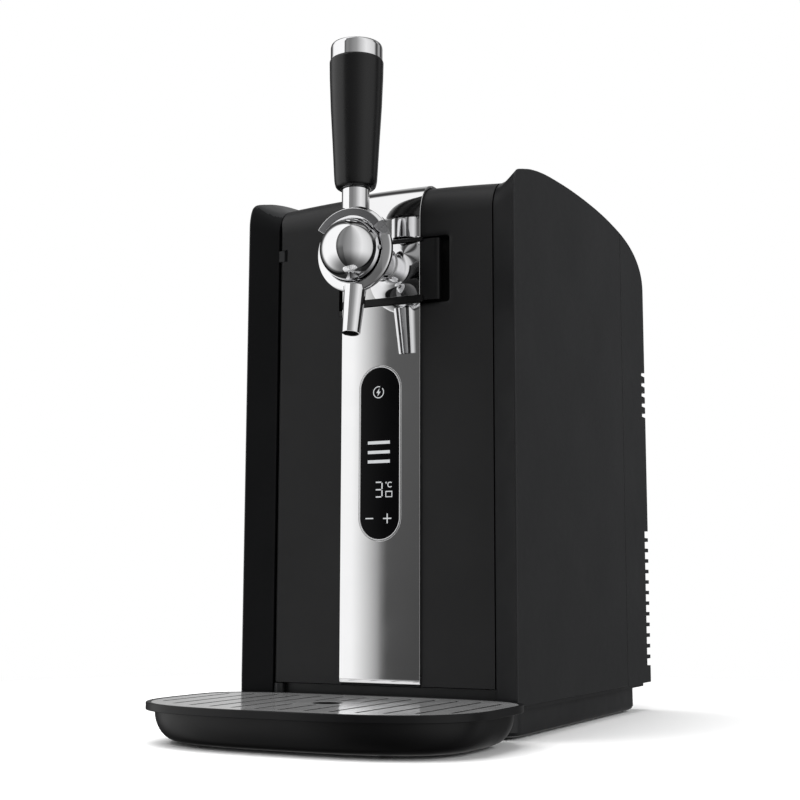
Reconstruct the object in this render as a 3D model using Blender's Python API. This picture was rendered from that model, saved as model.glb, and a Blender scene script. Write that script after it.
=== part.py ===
"""Counter-top dispenser for mini kegs, built as an assembly of separate pieces.

The frame is in metres with +Z up. The front faces -Y, and the origin lies on the resting
plane under the middle of the whole part. A depth is a distance behind the front corners of
the side panels.
"""

import math

import bmesh
import bpy
from mathutils import Vector

MM = 0.001
FULL_TURN = 2.0 * math.pi
QUARTER_TURN = 0.5 * math.pi

# Driving dimensions of the whole part
HOUSING_WIDTH = 261.0 * MM
HOUSING_DEPTH = 376.0 * MM
HOUSING_TOP = 489.5 * MM
PANEL_BOTTOM = 28.0 * MM
SEAM_DEPTH = 295.0 * MM
TRAY_WIDTH = 294.6 * MM
TRAY_REACH = 171.5 * MM
HANDLE_TOP = 589.5 * MM
KEG_RADIUS = 89.0 * MM

# Walls, clearances and edge roundings
WALL = 3.0 * MM
FIT_GAP = 0.3 * MM
RUNNING_GAP = 0.6 * MM
PANEL_GAP = 1.0 * MM
SEAM_GAP = 1.5 * MM
PANEL_EDGE = 1.6 * MM
OVERRUN = 2.0 * MM

# Form of the housing: slanted cheeks round a recessed front and roof
CHEEK_WIDTH = 24.6 * MM
FRONT_RECESS = 13.3 * MM
ROOF_DROP = 18.0 * MM
FRONT_RUN = 100.0 * MM
FRONT_DROP = 40.0 * MM
REAR_LEAD = 59.0 * MM
REAR_RUN = HOUSING_DEPTH - SEAM_DEPTH + REAR_LEAD
REAR_DROP = 52.0 * MM
LIP_RADIUS = 28.0 * MM
FRONT_BULGE_SHARE = 2.3
REAR_BULGE_SHARE = 2.4
ROUND_BULGE_SHARE = 2.0
SEAM_EDGE_SHARE = 0.4
CORNER_STEPS = 9

# Louvres of the rear housing
VENT_CUT_DEPTH = 13.0 * MM
VENT_BAR_HALF = 2.5 * MM
VENT_COLUMN_X = 44.0 * MM
LOWER_VENT_BOTTOM = 45.0 * MM
LOWER_VENT_PITCH = 10.9 * MM
LOWER_VENT_HEIGHT = 7.2 * MM
LOWER_VENT_COUNT = 13
UPPER_VENT_BOTTOM = 303.0 * MM
UPPER_VENT_PITCH = 10.9 * MM
UPPER_VENT_HEIGHT = 4.6 * MM
UPPER_VENT_COUNT = 5

# Mains inlet in the rear wall
INLET_X = 88.0 * MM
INLET_Z = 70.0 * MM
INLET_HALF_WIDTH = 13.8 * MM
INLET_HALF_HEIGHT = 10.0 * MM
INLET_FLANGE = 5.0 * MM
INLET_FLANGE_THICKNESS = 2.5 * MM
INLET_CORNER = 4.0 * MM
INLET_WALL = 2.0 * MM
INLET_BACK = 14.0 * MM
INLET_PROUD = 2.4 * MM
INLET_PIN_HALF_WIDTH = 2.0 * MM
INLET_PIN_HALF_HEIGHT = 0.8 * MM
INLET_PIN_SPREAD = 7.0 * MM
INLET_PIN_RISE = 2.5 * MM

# Base pan, feet and sill
BASE_INSET = 8.5 * MM
BASE_FRONT = 13.0 * MM
BASE_REAR_INSET = 25.0 * MM
BASE_REAR = HOUSING_DEPTH - BASE_REAR_INSET
BASE_BOTTOM = 2.0 * MM
BASE_FLOOR = 3.0 * MM
BASE_CORNER = 16.0 * MM
BASE_EDGE = 4.0 * MM
BASE_WALL = 8.0 * MM
BASE_FLANGE = 3.0 * MM
BASE_FLANGE_INSET = 3.5 * MM
BASE_RIB = 5.0 * MM
BASE_STEPS = 5
STOP_HALF_WIDTH = 50.0 * MM
STOP_LOW = 12.0 * MM
STOP_HIGH = 22.0 * MM
FOOT_RADIUS = 8.0 * MM
FOOT_HEIGHT = 3.2 * MM
FOOT_EDGE = 0.8 * MM
FOOT_INSET = 17.0 * MM
SILL_FRONT = 20.0 * MM
SILL_BOSS_RADIUS = 5.0 * MM

# Front door with its rolled hinge edge
DOOR_BOTTOM = 40.7 * MM
DOOR_TOP_DEPTH = 33.0 * MM
BARREL_RADIUS = 4.0 * MM
BARREL_TOP = 443.0 * MM
KNUCKLE_LOW = 418.0 * MM
KNUCKLE_HIGH = 428.0 * MM
HINGE_PIN_RADIUS = 1.6 * MM
HINGE_PIN_REACH = 15.0 * MM
DOOR_REAR = 36.0 * MM
LINER_HALF_WIDTH = 96.2 * MM
LINER_BOTTOM = 45.0 * MM
LINER_TOP = 444.0 * MM
SEAL_WIDTH = 5.4 * MM

# Chrome strip
STRIP_HALF_WIDTH = 38.2 * MM
STRIP_PROUD = 2.4 * MM
STRIP_LIP = 39.5 * MM
STRIP_LIP_RISE = 6.2 * MM
STRIP_LIP_DEPTH = 6.0 * MM
STRIP_LIP_KNEE = 1.6 * MM
ROOF_STRIP_END = 132.0 * MM

# Display in the strip
PILL_HALF_WIDTH = 19.8 * MM
PILL_BOTTOM = 162.5 * MM
PILL_TOP = 313.6 * MM
BEZEL_WIDTH = 1.1 * MM
BEZEL_PROUD = 0.3 * MM
PILL_SEAT = 3.4 * MM
PILL_STEPS = 8
BOARD_HALF_WIDTH = 18.5 * MM
BOARD_END_MARGIN = 14.0 * MM
BOARD_THICKNESS = 1.6 * MM
DIGIT_BLOCK_HALF = 9.0 * MM
DIGIT_BLOCK_HEIGHT = 22.0 * MM
DIGIT_BLOCK_THICKNESS = 3.0 * MM
POCKET_MARGIN = 2.0 * MM
POCKET_DEPTH = 9.0 * MM

# Tap gate in the strip
GATE_BOTTOM = 367.5 * MM
GATE_TOP = 424.5 * MM
GATE_GAP = 1.0 * MM
LOWER_BAR = 6.0 * MM
UPPER_BAR = 3.0 * MM
BAR_PROUD = 1.0 * MM
GATE_AXIS_X = 35.0 * MM
GATE_AXIS_DEPTH = 16.4 * MM
GATE_HOLE_LEFT = 42.8 * MM
GATE_HOLE_RIGHT = 64.5 * MM
GATE_BARREL_RADIUS = 2.8 * MM
GATE_PIN_RADIUS = 1.5 * MM
GATE_PLATE = 2.0 * MM
GATE_BACKING = 2.4 * MM
GRIP_RIGHT = 56.0 * MM
GRIP_MARGIN = 1.5 * MM
GRIP_FRONT = 11.4 * MM
GRIP_THICKNESS = 2.6 * MM
GRIP_ROLL = 3.0 * MM
EAR_HEIGHT = 4.6 * MM
EAR_WIDTH = 11.3 * MM
GATE_POCKET_WALL = 2.0 * MM
GATE_POCKET_FLOOR = 31.0 * MM
TUBE_HOLE_HALF_WIDTH = 20.0 * MM
TUBE_HOLE_HALF_HEIGHT = 16.0 * MM

# Tap: cup, ball, yoke and spout
TAP_Z = 405.0 * MM
TAP_DEPTH = -38.0 * MM
BALL_FORWARD = 6.0 * MM
BALL_RADIUS = 25.2 * MM
BALL_GROOVE = 1.1 * MM
CUP_RADIUS = 35.3 * MM
CUP_LIP_RADIUS = 27.8 * MM
CUP_LIP_FORWARD = 9.5 * MM
CUP_EDGE = 0.9 * MM
CUP_BACK = 27.0 * MM
NECK_RADIUS = 13.0 * MM
NECK_FLANGE_RADIUS = 15.6 * MM
NECK_FLANGE = 2.4 * MM
SPIGOT_RADIUS = 10.0 * MM
SPIGOT_REAR = 18.5 * MM
NOTCH_RISE = 7.5 * MM
YOKE_RIGHT_ANGLE = math.radians(38.0)
YOKE_LEFT_ANGLE = math.radians(157.0)
AXLE_RADIUS = 1.8 * MM
AXLE_SOCKET = 1.4 * MM
SPOUT_TOP_RADIUS = 9.7 * MM
SPOUT_END_RADIUS = 7.7 * MM
SPOUT_BORE = 5.0 * MM
SPOUT_TOP_Z = 374.3 * MM
SPOUT_TOP_DEPTH = -36.5 * MM
SPOUT_END_Z = 333.5 * MM
SPOUT_END_DEPTH = -43.5 * MM
PLUNGER_RADIUS = 4.6 * MM
PLUNGER_BELOW = 7.0 * MM
PLUNGER_ABOVE = 1.2 * MM
ROUND_STEPS = 32
CUP_STEPS = 40
FINE_STEPS = 16

# Tap handle
STEM_DEPTH = -37.0 * MM
STEM_RADIUS = 11.8 * MM
STEM_SEAT_RADIUS = 13.2 * MM
STEM_SEAT_HEIGHT = 4.8 * MM
STEM_SPIGOT_RADIUS = 5.0 * MM
STEM_TOP = 474.0 * MM
YOKE_WEB_HALF = 8.5 * MM
YOKE_WEB_DROP = 6.0 * MM
GRIP_BOTTOM = 459.4 * MM
GRIP_TOP = 573.6 * MM
GRIP_TOP_RADIUS = 23.4 * MM
GRIP_WAIST_RADIUS = 18.5 * MM
GRIP_WAIST_RISE = 13.0 * MM
GRIP_END_RADIUS = 14.8 * MM
GRIP_EDGE = 1.2 * MM
CAP_RADIUS = 22.7 * MM
CAP_EDGE = 1.2 * MM
CAP_CROWN = 0.8 * MM

# Cabinet round the keg
CABINET_HALF_WIDTH = 101.0 * MM
CABINET_FRONT = 46.0 * MM
CABINET_TOP = 452.0 * MM
KEG_CLEARANCE = 1.5 * MM
KEG_DEPTH = 143.0 * MM
CABINET_REAR_WALL = 16.5 * MM
CABINET_REAR = KEG_DEPTH + KEG_RADIUS + KEG_CLEARANCE + CABINET_REAR_WALL
REAR_ROOM = HOUSING_DEPTH - CABINET_REAR
BASE_RIB_LEAD = 12.0 * MM
BASE_RIB_SPACING = 116.0 * MM
BASE_RIB_DEPTHS = (CABINET_REAR - BASE_RIB_LEAD - BASE_RIB_SPACING,
                   CABINET_REAR - BASE_RIB_LEAD)
CHAMBER_FLOOR = 52.0 * MM
CHAMBER_TOP = 437.0 * MM
KEG_SEAT_INSET = 5.0 * MM
KEG_SEAT_PLATE = 2.0 * MM
KEG_SEAT_RIM = 2.6 * MM
KEG_STEPS = 24

# Cooling: cold plate, thermoelectric module, heat sink and fan
COOLER_Z = 275.0 * MM
COLD_PLATE_HALF_WIDTH = 52.0 * MM
COLD_PLATE_HALF_HEIGHT = 66.0 * MM
COLD_PLATE_THICKNESS = 4.0 * MM
COLD_BLOCK_HALF_WIDTH = 38.0 * MM
COLD_BLOCK_HALF_HEIGHT = 52.0 * MM
COLD_BLOCK_DEPTH = 11.5 * MM
MODULE_HALF = 20.0 * MM
MODULE_THICKNESS = 3.8 * MM
SINK_HALF_WIDTH = 49.0 * MM
SINK_HALF_HEIGHT = 52.0 * MM
SINK_BASE = 6.0 * MM
SINK_FIN_SHARE = 0.2143
SINK_FIN_LENGTH = SINK_FIN_SHARE * REAR_ROOM
SINK_FIN_THICKNESS = 1.6 * MM
SINK_FIN_COUNT = 14
FAN_HALF = 35.0 * MM
FAN_DEPTH = 22.0 * MM
FAN_CORNER = 4.0 * MM
FAN_BORE = 28.0 * MM
FAN_STRUT = 2.4 * MM
FAN_STRUT_HALF = 2.0 * MM
FAN_BOSS_RADIUS = 13.0 * MM
ROTOR_HUB_RADIUS = 12.5 * MM
ROTOR_TIP_RADIUS = 26.5 * MM
ROTOR_LENGTH = 12.0 * MM
ROTOR_SHAFT_RADIUS = 1.6 * MM
ROTOR_BLADES = 7
BLADE_THICKNESS = 1.6 * MM
BLADE_SWEEP = math.radians(28.0)
BLADE_SINK = 1.0 * MM

# Electrics and air
SUPPLY_X = -70.0 * MM
SUPPLY_HALF_WIDTH = 34.0 * MM
SUPPLY_HEIGHT = 40.0 * MM
SUPPLY_SETBACK = 2.0 * MM
SUPPLY_LENGTH_SHARE = 0.6667
SUPPLY_FRONT = CABINET_REAR + SUPPLY_SETBACK
SUPPLY_REAR = SUPPLY_FRONT + SUPPLY_LENGTH_SHARE * REAR_ROOM
SUPPLY_SLOT_HALF = 1.5 * MM
SUPPLY_SLOT_PITCH = 8.0 * MM
SUPPLY_SLOT_COUNT = 7
SUPPLY_SLOT_DEPTH = 2.0 * MM
CONTROL_X = 62.0 * MM
CONTROL_HALF_WIDTH = 36.0 * MM
CONTROL_SETBACK = 8.0 * MM
CONTROL_LENGTH_SHARE = 0.5714
CONTROL_FRONT = CABINET_REAR + CONTROL_SETBACK
CONTROL_REAR = CONTROL_FRONT + CONTROL_LENGTH_SHARE * REAR_ROOM
CONTROL_RISE = 8.0 * MM
CONTROL_POST_RADIUS = 3.0 * MM
CONTROL_POST_INSET = 6.0 * MM
CONTROL_CHIP_HALF = 7.0 * MM
CONTROL_CHIP_HEIGHT = 2.4 * MM
CONTROL_CAN_RADIUS = 5.0 * MM
CONTROL_CAN_HEIGHT = 14.0 * MM
PUMP_X = -74.0 * MM
PUMP_BOTTOM = 72.0 * MM
PUMP_MOTOR_RADIUS = 14.0 * MM
PUMP_MOTOR_HEIGHT = 42.0 * MM
PUMP_HEAD_HALF = 16.0 * MM
PUMP_HEAD_HEIGHT = 24.0 * MM
PUMP_MOUNT_THICKNESS = 3.0 * MM
PUMP_MOUNT_HALF = 20.0 * MM
NIPPLE_RADIUS = 2.4 * MM
NIPPLE_LENGTH = 9.0 * MM
HOSE_RADIUS = 3.5 * MM
HOSE_BEND = 22.0 * MM
HOSE_STEPS = 7
COUPLING_Z = 405.0 * MM
COUPLING_RADIUS = 7.0 * MM
COUPLING_FLANGE_RADIUS = 10.0 * MM
COUPLING_FLANGE = 3.0 * MM
COUPLING_NOSE = 5.0 * MM

# Door release at the top
LATCH_PIVOT_DEPTH = 75.0 * MM
LATCH_PIVOT_RISE = 5.5 * MM
LATCH_HALF_WIDTH = 8.0 * MM
LATCH_ARM_LOW = 4.0 * MM
LATCH_ARM_HIGH = 7.0 * MM
LATCH_ARM_END = 109.0 * MM
LATCH_BOSS_RADIUS = 3.4 * MM
LATCH_PIN_RADIUS = 1.5 * MM
LATCH_TOOTH_FRONT = 27.5 * MM
LATCH_TOOTH = 4.0 * MM
LATCH_TOOTH_LOW = 0.4 * MM
LATCH_EAR = 4.0 * MM
LATCH_EAR_HALF_DEPTH = 5.0 * MM
LATCH_EAR_RISE = 9.5 * MM
STRIKER_HALF_WIDTH = 11.0 * MM
STRIKER_FRONT = 19.0 * MM
STRIKER_PLATE = 2.0 * MM
STRIKER_LIP = 2.5 * MM
STRIKER_PLAY = 0.5 * MM
BUTTON_DEPTH = 106.0 * MM
BUTTON_HALF_WIDTH = 16.0 * MM
BUTTON_HALF_DEPTH = 11.0 * MM
BUTTON_CORNER = 5.0 * MM
BUTTON_FLANGE = 1.6 * MM
BUTTON_FLANGE_HEIGHT = 3.0 * MM
BUTTON_STEM_RADIUS = 2.0 * MM
BUTTON_PROUD = 0.6 * MM
SPRING_RADIUS = 3.2 * MM
SPRING_WIRE = 0.35 * MM
SPRING_TURNS = 2
SPRING_TURN_STEPS = 12
SPRING_DEPTH = 93.0 * MM

# Drip tray
TRAY_MIDDLE = -69.0 * MM
TRAY_REAR = 9.0 * MM
TRAY_TOP = 32.5 * MM
RIM_HEIGHT = 6.0 * MM
RIM_WIDTH = 3.4 * MM
RIM_LEDGE = 4.0 * MM
RIM_LEDGE_DROP = 1.6 * MM
RIM_EDGE = 0.8 * MM
TRAY_FRONT_BULGE_SHARE = 3.0
TRAY_REAR_BULGE_SHARE = 4.4
TRAY_STEPS = 12
BOWL_INSET = 6.5 * MM
BOWL_BOTTOM = 2.0 * MM
BOWL_ROLL = 17.0 * MM
BOWL_WALL = 2.4 * MM
BOWL_STEPS = 4
TRAY_FOOT_RADIUS = 6.0 * MM
TRAY_FOOT_X = 78.0 * MM
TRAY_FOOT_FRONT = -132.0 * MM
TRAY_FOOT_REAR = -34.0 * MM
GRILLE_THICKNESS = 1.0 * MM
SLOT_PITCH_SHARE = 0.0713
SLOT_PITCH = SLOT_PITCH_SHARE * TRAY_WIDTH
SLOT_HALF_WIDTH = 1.3 * MM
SLOT_COUNT_EACH_SIDE = 6
SLOT_MARGIN = 16.0 * MM
SLOT_BREAK = 17.0 * MM
SLOT_BREAK_COUNT = 2
SLOT_END_STEPS = 3
FINGER_HOLE_RADIUS = 12.0 * MM
FINGER_HOLE_DEPTH = -78.0 * MM

# Places that follow from the sizes above
HALF_WIDTH = 0.5 * HOUSING_WIDTH
LIP_X = HALF_WIDTH - CHEEK_WIDTH
ROOF_TOP = HOUSING_TOP - ROOF_DROP
DOOR_HALF_WIDTH = LIP_X - PANEL_GAP
HINGE_X = -(DOOR_HALF_WIDTH - BARREL_RADIUS)
HINGE_DEPTH = FRONT_RECESS + BARREL_RADIUS
DOOR_INNER = FRONT_RECESS + WALL
STRIP_FRONT = FRONT_RECESS - STRIP_PROUD
STRIP_BACK = FRONT_RECESS - FIT_GAP
LIP_CENTRE_DEPTH = FRONT_RECESS + LIP_RADIUS
LIP_CENTRE_Z = ROOF_TOP - LIP_RADIUS
ROOF_FRONT = DOOR_TOP_DEPTH + PANEL_GAP
BASE_TOP = PANEL_BOTTOM - FIT_GAP
BALL_DEPTH = TAP_DEPTH - BALL_FORWARD
FRONT_Y = 0.5 * (TRAY_REACH - HOUSING_DEPTH)
SHARP_ANGLE = math.radians(32.0)


def y_of(depth):
    """World Y of a depth behind the front corners of the side panels."""
    return FRONT_Y + depth


# Joint axes in the world
DOOR_AXIS = Vector((HINGE_X, y_of(HINGE_DEPTH), DOOR_BOTTOM))
GATE_AXIS = Vector((-GATE_AXIS_X, y_of(GATE_AXIS_DEPTH), GATE_BOTTOM))
LEVER_AXIS = Vector((0.0, y_of(BALL_DEPTH), TAP_Z))
SPOUT_TOP = Vector((0.0, y_of(SPOUT_TOP_DEPTH), SPOUT_TOP_Z))
SPOUT_END = Vector((0.0, y_of(SPOUT_END_DEPTH), SPOUT_END_Z))
SPOUT_DOWN = (SPOUT_END - SPOUT_TOP).normalized()
LATCH_AXIS = Vector((0.0, y_of(LATCH_PIVOT_DEPTH), CABINET_TOP + LATCH_PIVOT_RISE))
BUTTON_PLACE = Vector((0.0, y_of(BUTTON_DEPTH), ROOF_TOP))
FAN_FRONT = (CABINET_REAR + COLD_PLATE_THICKNESS + MODULE_THICKNESS + SINK_BASE
             + SINK_FIN_LENGTH + FIT_GAP + FIT_GAP + FIT_GAP + FIT_GAP)
FAN_AXIS = Vector((0.0, y_of(FAN_FRONT), COOLER_Z))
TRAY_PLACE = Vector((0.0, y_of(TRAY_MIDDLE), 0.0))
GRILLE_PLACE = Vector((0.0, y_of(TRAY_MIDDLE), TRAY_TOP))


# Basic shapes
def loft(loops, ring=False):
    """Skin through loops of equal length; a ring joins the last loop to the first."""
    shape = bmesh.new()
    rows = [[shape.verts.new(point) for point in loop] for loop in loops]
    pairs = list(zip(rows, rows[1:]))
    if ring:
        pairs.append((rows[-1], rows[0]))
    for low, high in pairs:
        count = len(low)
        for index in range(count):
            after = (index + 1) % count
            shape.faces.new((low[index], low[after], high[after], high[index]))
    if not ring:
        shape.faces.new(rows[0])
        shape.faces.new(rows[-1])
    return shape


def on_axis(axis, along, first, second):
    """Point at a place along X, Y or Z, with its two other coordinates in order."""
    if axis == "X":
        return Vector((along, first, second))
    if axis == "Y":
        return Vector((first, along, second))
    return Vector((first, second, along))


def prism(outline, axis, low, high):
    """Outline pushed along an axis from one place to another."""
    return loft([[on_axis(axis, place, a, b) for a, b in outline] for place in (low, high)])


def box(low, high):
    """Box between two corners, each given as x, depth and z."""
    outline = [(low[0], y_of(low[1])), (high[0], y_of(low[1])),
               (high[0], y_of(high[1])), (low[0], y_of(high[1]))]
    return prism(outline, "Z", low[2], high[2])


def depth_outline(points):
    """Outline given as depth and z, for a push along X."""
    return [(y_of(depth), height) for depth, height in points]


def rounded_outline(middle, half, radius, steps):
    """Rectangle with round corners round a middle, as a list of points."""
    points = []
    for corner, (side, end) in enumerate(((1, 1), (-1, 1), (-1, -1), (1, -1))):
        centre_a = middle[0] + side * (half[0] - radius)
        centre_b = middle[1] + end * (half[1] - radius)
        for step in range(steps + 1):
            angle = (corner + step / steps) * QUARTER_TURN
            points.append((centre_a + radius * math.cos(angle),
                           centre_b + radius * math.sin(angle)))
    return points


def lathe(profile, foot, direction, steps, ring=False):
    """Profile of radius and distance turned round an axis that starts at a foot point."""
    shape = bmesh.new()
    turn = Vector((0.0, 0.0, 1.0)).rotation_difference(Vector(direction)).to_matrix()
    rows = []
    for radius, along in profile:
        if radius == 0.0:
            rows.append([shape.verts.new(foot + turn @ Vector((0.0, 0.0, along)))])
            continue
        row = []
        for step in range(steps):
            angle = FULL_TURN * step / steps
            local = Vector((radius * math.cos(angle), radius * math.sin(angle), along))
            row.append(shape.verts.new(foot + turn @ local))
        rows.append(row)
    pairs = list(zip(rows, rows[1:]))
    if ring:
        pairs.append((rows[-1], rows[0]))
    for low, high in pairs:
        for step in range(steps):
            after = (step + 1) % steps
            corners = [low[step % len(low)], low[after % len(low)],
                       high[after % len(high)], high[step % len(high)]]
            shape.faces.new(list(dict.fromkeys(corners)))
    return shape


def rod(radius, start, end, steps=FINE_STEPS):
    """Round rod between two points."""
    span = end - start
    profile = [(0.0, 0.0), (radius, 0.0), (radius, span.length), (0.0, span.length)]
    return lathe(profile, start, span.normalized(), steps)


def ball_shape(radius, centre, steps, rings):
    """Sphere with its poles on the Y axis."""
    profile = []
    for ring in range(rings + 1):
        angle = math.pi * ring / rings
        reach = 0.0 if ring in (0, rings) else radius * math.sin(angle)
        profile.append((reach, -radius * math.cos(angle)))
    return lathe(profile, centre, (0.0, 1.0, 0.0), steps)


def combined(shapes):
    """Several shapes that don't touch, put into one mesh."""
    result = bmesh.new()
    for shape in shapes:
        mesh = bpy.data.meshes.new("shape")
        shape.to_mesh(mesh)
        shape.free()
        result.from_mesh(mesh)
        bpy.data.meshes.remove(mesh)
    return result


# Objects, materials and Booleans
def material(name, colour, roughness, metallic):
    """Principled material with a colour, a roughness and a metallic value."""
    made = bpy.data.materials.get(name)
    if made:
        return made
    made = bpy.data.materials.new(name)
    made.use_nodes = True
    shader = made.node_tree.nodes["Principled BSDF"]
    shader.inputs["Base Color"].default_value = (*colour, 1.0)
    shader.inputs["Roughness"].default_value = roughness
    shader.inputs["Metallic"].default_value = metallic
    made.diffuse_color = (*colour, 1.0)
    return made


def satin_black():
    return material("satin_black_plastic", (0.022, 0.023, 0.025), 0.42, 0.0)


def door_black():
    return material("door_black_plastic", (0.026, 0.026, 0.028), 0.46, 0.0)


def gloss_black():
    return material("gloss_black", (0.006, 0.006, 0.007), 0.08, 0.0)


def chrome():
    return material("chrome", (0.82, 0.82, 0.83), 0.06, 1.0)


def steel():
    return material("brushed_steel", (0.62, 0.62, 0.63), 0.26, 1.0)


def aluminium():
    return material("aluminium", (0.70, 0.71, 0.72), 0.38, 1.0)


def rubber():
    return material("black_rubber", (0.015, 0.015, 0.016), 0.85, 0.0)


def grip_black():
    return material("grip_black", (0.018, 0.018, 0.019), 0.36, 0.0)


def foam_grey():
    return material("cabinet_grey", (0.30, 0.31, 0.33), 0.55, 0.0)


def board_green():
    return material("circuit_board", (0.015, 0.10, 0.04), 0.5, 0.0)


def ceramic():
    return material("ceramic_white", (0.78, 0.78, 0.75), 0.5, 0.0)


def hose_clear():
    return material("clear_hose", (0.55, 0.58, 0.60), 0.3, 0.0)


def add_empty(name, place, parent=None):
    """Empty on a joint axis, which carries the pieces of one moving body."""
    empty = bpy.data.objects.new(name, None)
    bpy.context.collection.objects.link(empty)
    empty.empty_display_size = WALL
    empty["place"] = list(place)
    empty.parent = parent
    base = Vector(parent["place"]) if parent else Vector()
    empty.location = Vector(place) - base
    return empty


def fill_object(name, shape, origin):
    """Object whose mesh is the shape, seen from the origin."""
    bmesh.ops.recalc_face_normals(shape, faces=shape.faces)
    bmesh.ops.translate(shape, verts=shape.verts, vec=-origin)
    mesh = bpy.data.meshes.new(name)
    shape.to_mesh(mesh)
    shape.free()
    made = bpy.data.objects.new(name, mesh)
    bpy.context.collection.objects.link(made)
    return made


def add_piece(name, shape, finish, frame=None, origin=None):
    """Named piece of the assembly, carried by an empty or standing by itself."""
    place = Vector(frame["place"]) if frame else Vector(origin or (0.0, 0.0, 0.0))
    made = fill_object(name, shape, place)
    made["place"] = list(place)
    made.data.materials.append(finish)
    made.data.shade_smooth()
    made.data.set_sharp_from_angle(angle=SHARP_ANGLE)
    if frame:
        made.parent = frame
    else:
        made.location = place
    return made


def shape_with(target, shape, label, operation):
    """Boolean of a piece with a hidden helper shape that moves with it."""
    helper = fill_object(target.name + "_" + label, shape, Vector(target["place"]))
    helper.parent = target
    helper.hide_render = True
    helper.display_type = "WIRE"
    step = target.modifiers.new(label, "BOOLEAN")
    step.operation = operation
    step.solver = "EXACT"
    step.object = helper


def cut(target, shape, label):
    shape_with(target, shape, label, "DIFFERENCE")


def fuse(target, shape, label):
    shape_with(target, shape, label, "UNION")


# Housing profile
OUTER = {"front": 0.0, "roof": HOUSING_TOP, "run": FRONT_RUN, "drop": FRONT_DROP,
         "bulge": FRONT_BULGE_SHARE, "rear_drop": REAR_DROP}
LIP = {"front": FRONT_RECESS, "roof": ROOF_TOP, "run": LIP_RADIUS, "drop": LIP_RADIUS,
       "bulge": ROUND_BULGE_SHARE, "rear_drop": REAR_DROP - ROOF_DROP}


def front_corner(form, inset, first_angle=0.0):
    """Rounded corner from the front to the roof, as depth and z."""
    run = form["run"] - inset
    drop = form["drop"] - inset
    power = 2.0 / form["bulge"]
    points = []
    for step in range(CORNER_STEPS + 1):
        angle = first_angle + (QUARTER_TURN - first_angle) * step / CORNER_STEPS
        depth = form["front"] + form["run"] - run * max(math.cos(angle), 0.0) ** power
        height = form["roof"] - form["drop"] + drop * math.sin(angle) ** power
        points.append((depth, height))
    return points


def rear_angle(depth, inset):
    """Angle on the rear corner at which the roof line reaches a depth."""
    run = REAR_RUN - inset
    share = (depth - (HOUSING_DEPTH - REAR_RUN)) / run
    return math.asin(min(share, 1.0) ** (0.5 * REAR_BULGE_SHARE))


def rear_corner(form, inset, first_angle, last_angle):
    """Rounded corner from the roof to the rear, as depth and z."""
    run = REAR_RUN - inset
    drop = form["rear_drop"] - inset
    power = 2.0 / REAR_BULGE_SHARE
    points = []
    for step in range(CORNER_STEPS + 1):
        angle = first_angle + (last_angle - first_angle) * step / CORNER_STEPS
        depth = HOUSING_DEPTH - REAR_RUN + run * math.sin(angle) ** power
        height = form["roof"] - form["rear_drop"] + drop * max(math.cos(angle), 0.0) ** power
        points.append((depth, height))
    return points


def side_loop(x, form, inset, edge):
    """Section of a side panel at one x, from the front to the seam."""
    seam = SEAM_DEPTH - edge
    points = [(form["front"] + inset, PANEL_BOTTOM + edge)]
    points += front_corner(form, inset)
    points += rear_corner(form, inset, 0.0, rear_angle(seam, inset))
    points.append((seam, PANEL_BOTTOM + edge))
    return [Vector((x, y_of(depth), height)) for depth, height in points]


def rear_loop(x, form, inset, edge, overrun=0.0):
    """Section of the rear housing at one x, from the seam to the rear wall."""
    seam = SEAM_DEPTH + SEAM_GAP + edge - overrun
    low = PANEL_BOTTOM + edge - overrun
    points = [(seam, low)]
    points += rear_corner(form, inset, rear_angle(seam, inset), QUARTER_TURN)
    points.append((HOUSING_DEPTH - inset, low))
    return [Vector((x, y_of(depth), height)) for depth, height in points]


def edge_rounding(make_loop, side):
    """Loops that round the outer edge of a side wall, from its face inwards."""
    loops = []
    for step in range(3):
        angle = step * 0.5 * QUARTER_TURN
        inset = PANEL_EDGE * (1.0 - math.sin(angle))
        x = side * (HALF_WIDTH - PANEL_EDGE * (1.0 - math.cos(angle)))
        loops.append(make_loop(x, OUTER, inset, inset * SEAM_EDGE_SHARE))
    return loops


def make_side_panel(name, side):
    """Side panel: a moulded shell with a slanted cheek round its front and top."""
    loops = edge_rounding(side_loop, side)
    loops.append(side_loop(side * LIP_X, LIP, 0.0, 0.0))
    loops.append(side_loop(side * LIP_X, LIP, WALL, WALL))
    loops.append(side_loop(side * (HALF_WIDTH - WALL), OUTER, WALL, WALL))
    origin = (side * HALF_WIDTH, FRONT_Y, PANEL_BOTTOM)
    return add_piece(name, loft(loops), satin_black(), origin=origin)


def add_hinge_knuckle(panel):
    """Knuckle on the left panel that carries the upper hinge pin of the door."""
    axis = Vector((HINGE_X, y_of(HINGE_DEPTH), KNUCKLE_LOW))
    up = Vector((0.0, 0.0, KNUCKLE_HIGH - KNUCKLE_LOW))
    radius = BARREL_RADIUS - FIT_GAP
    fuse(panel, rod(radius, axis, axis + up), "knuckle")
    arm = box((-LIP_X - OVERRUN, HINGE_DEPTH - radius + PANEL_GAP, KNUCKLE_LOW),
              (HINGE_X, HINGE_DEPTH + radius - PANEL_GAP, KNUCKLE_HIGH))
    fuse(panel, arm, "knuckle_arm")
    bore = Vector((0.0, 0.0, OVERRUN))
    cut(panel, rod(HINGE_PIN_RADIUS + FIT_GAP, axis - bore, axis + up + bore), "knuckle_bore")


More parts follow.
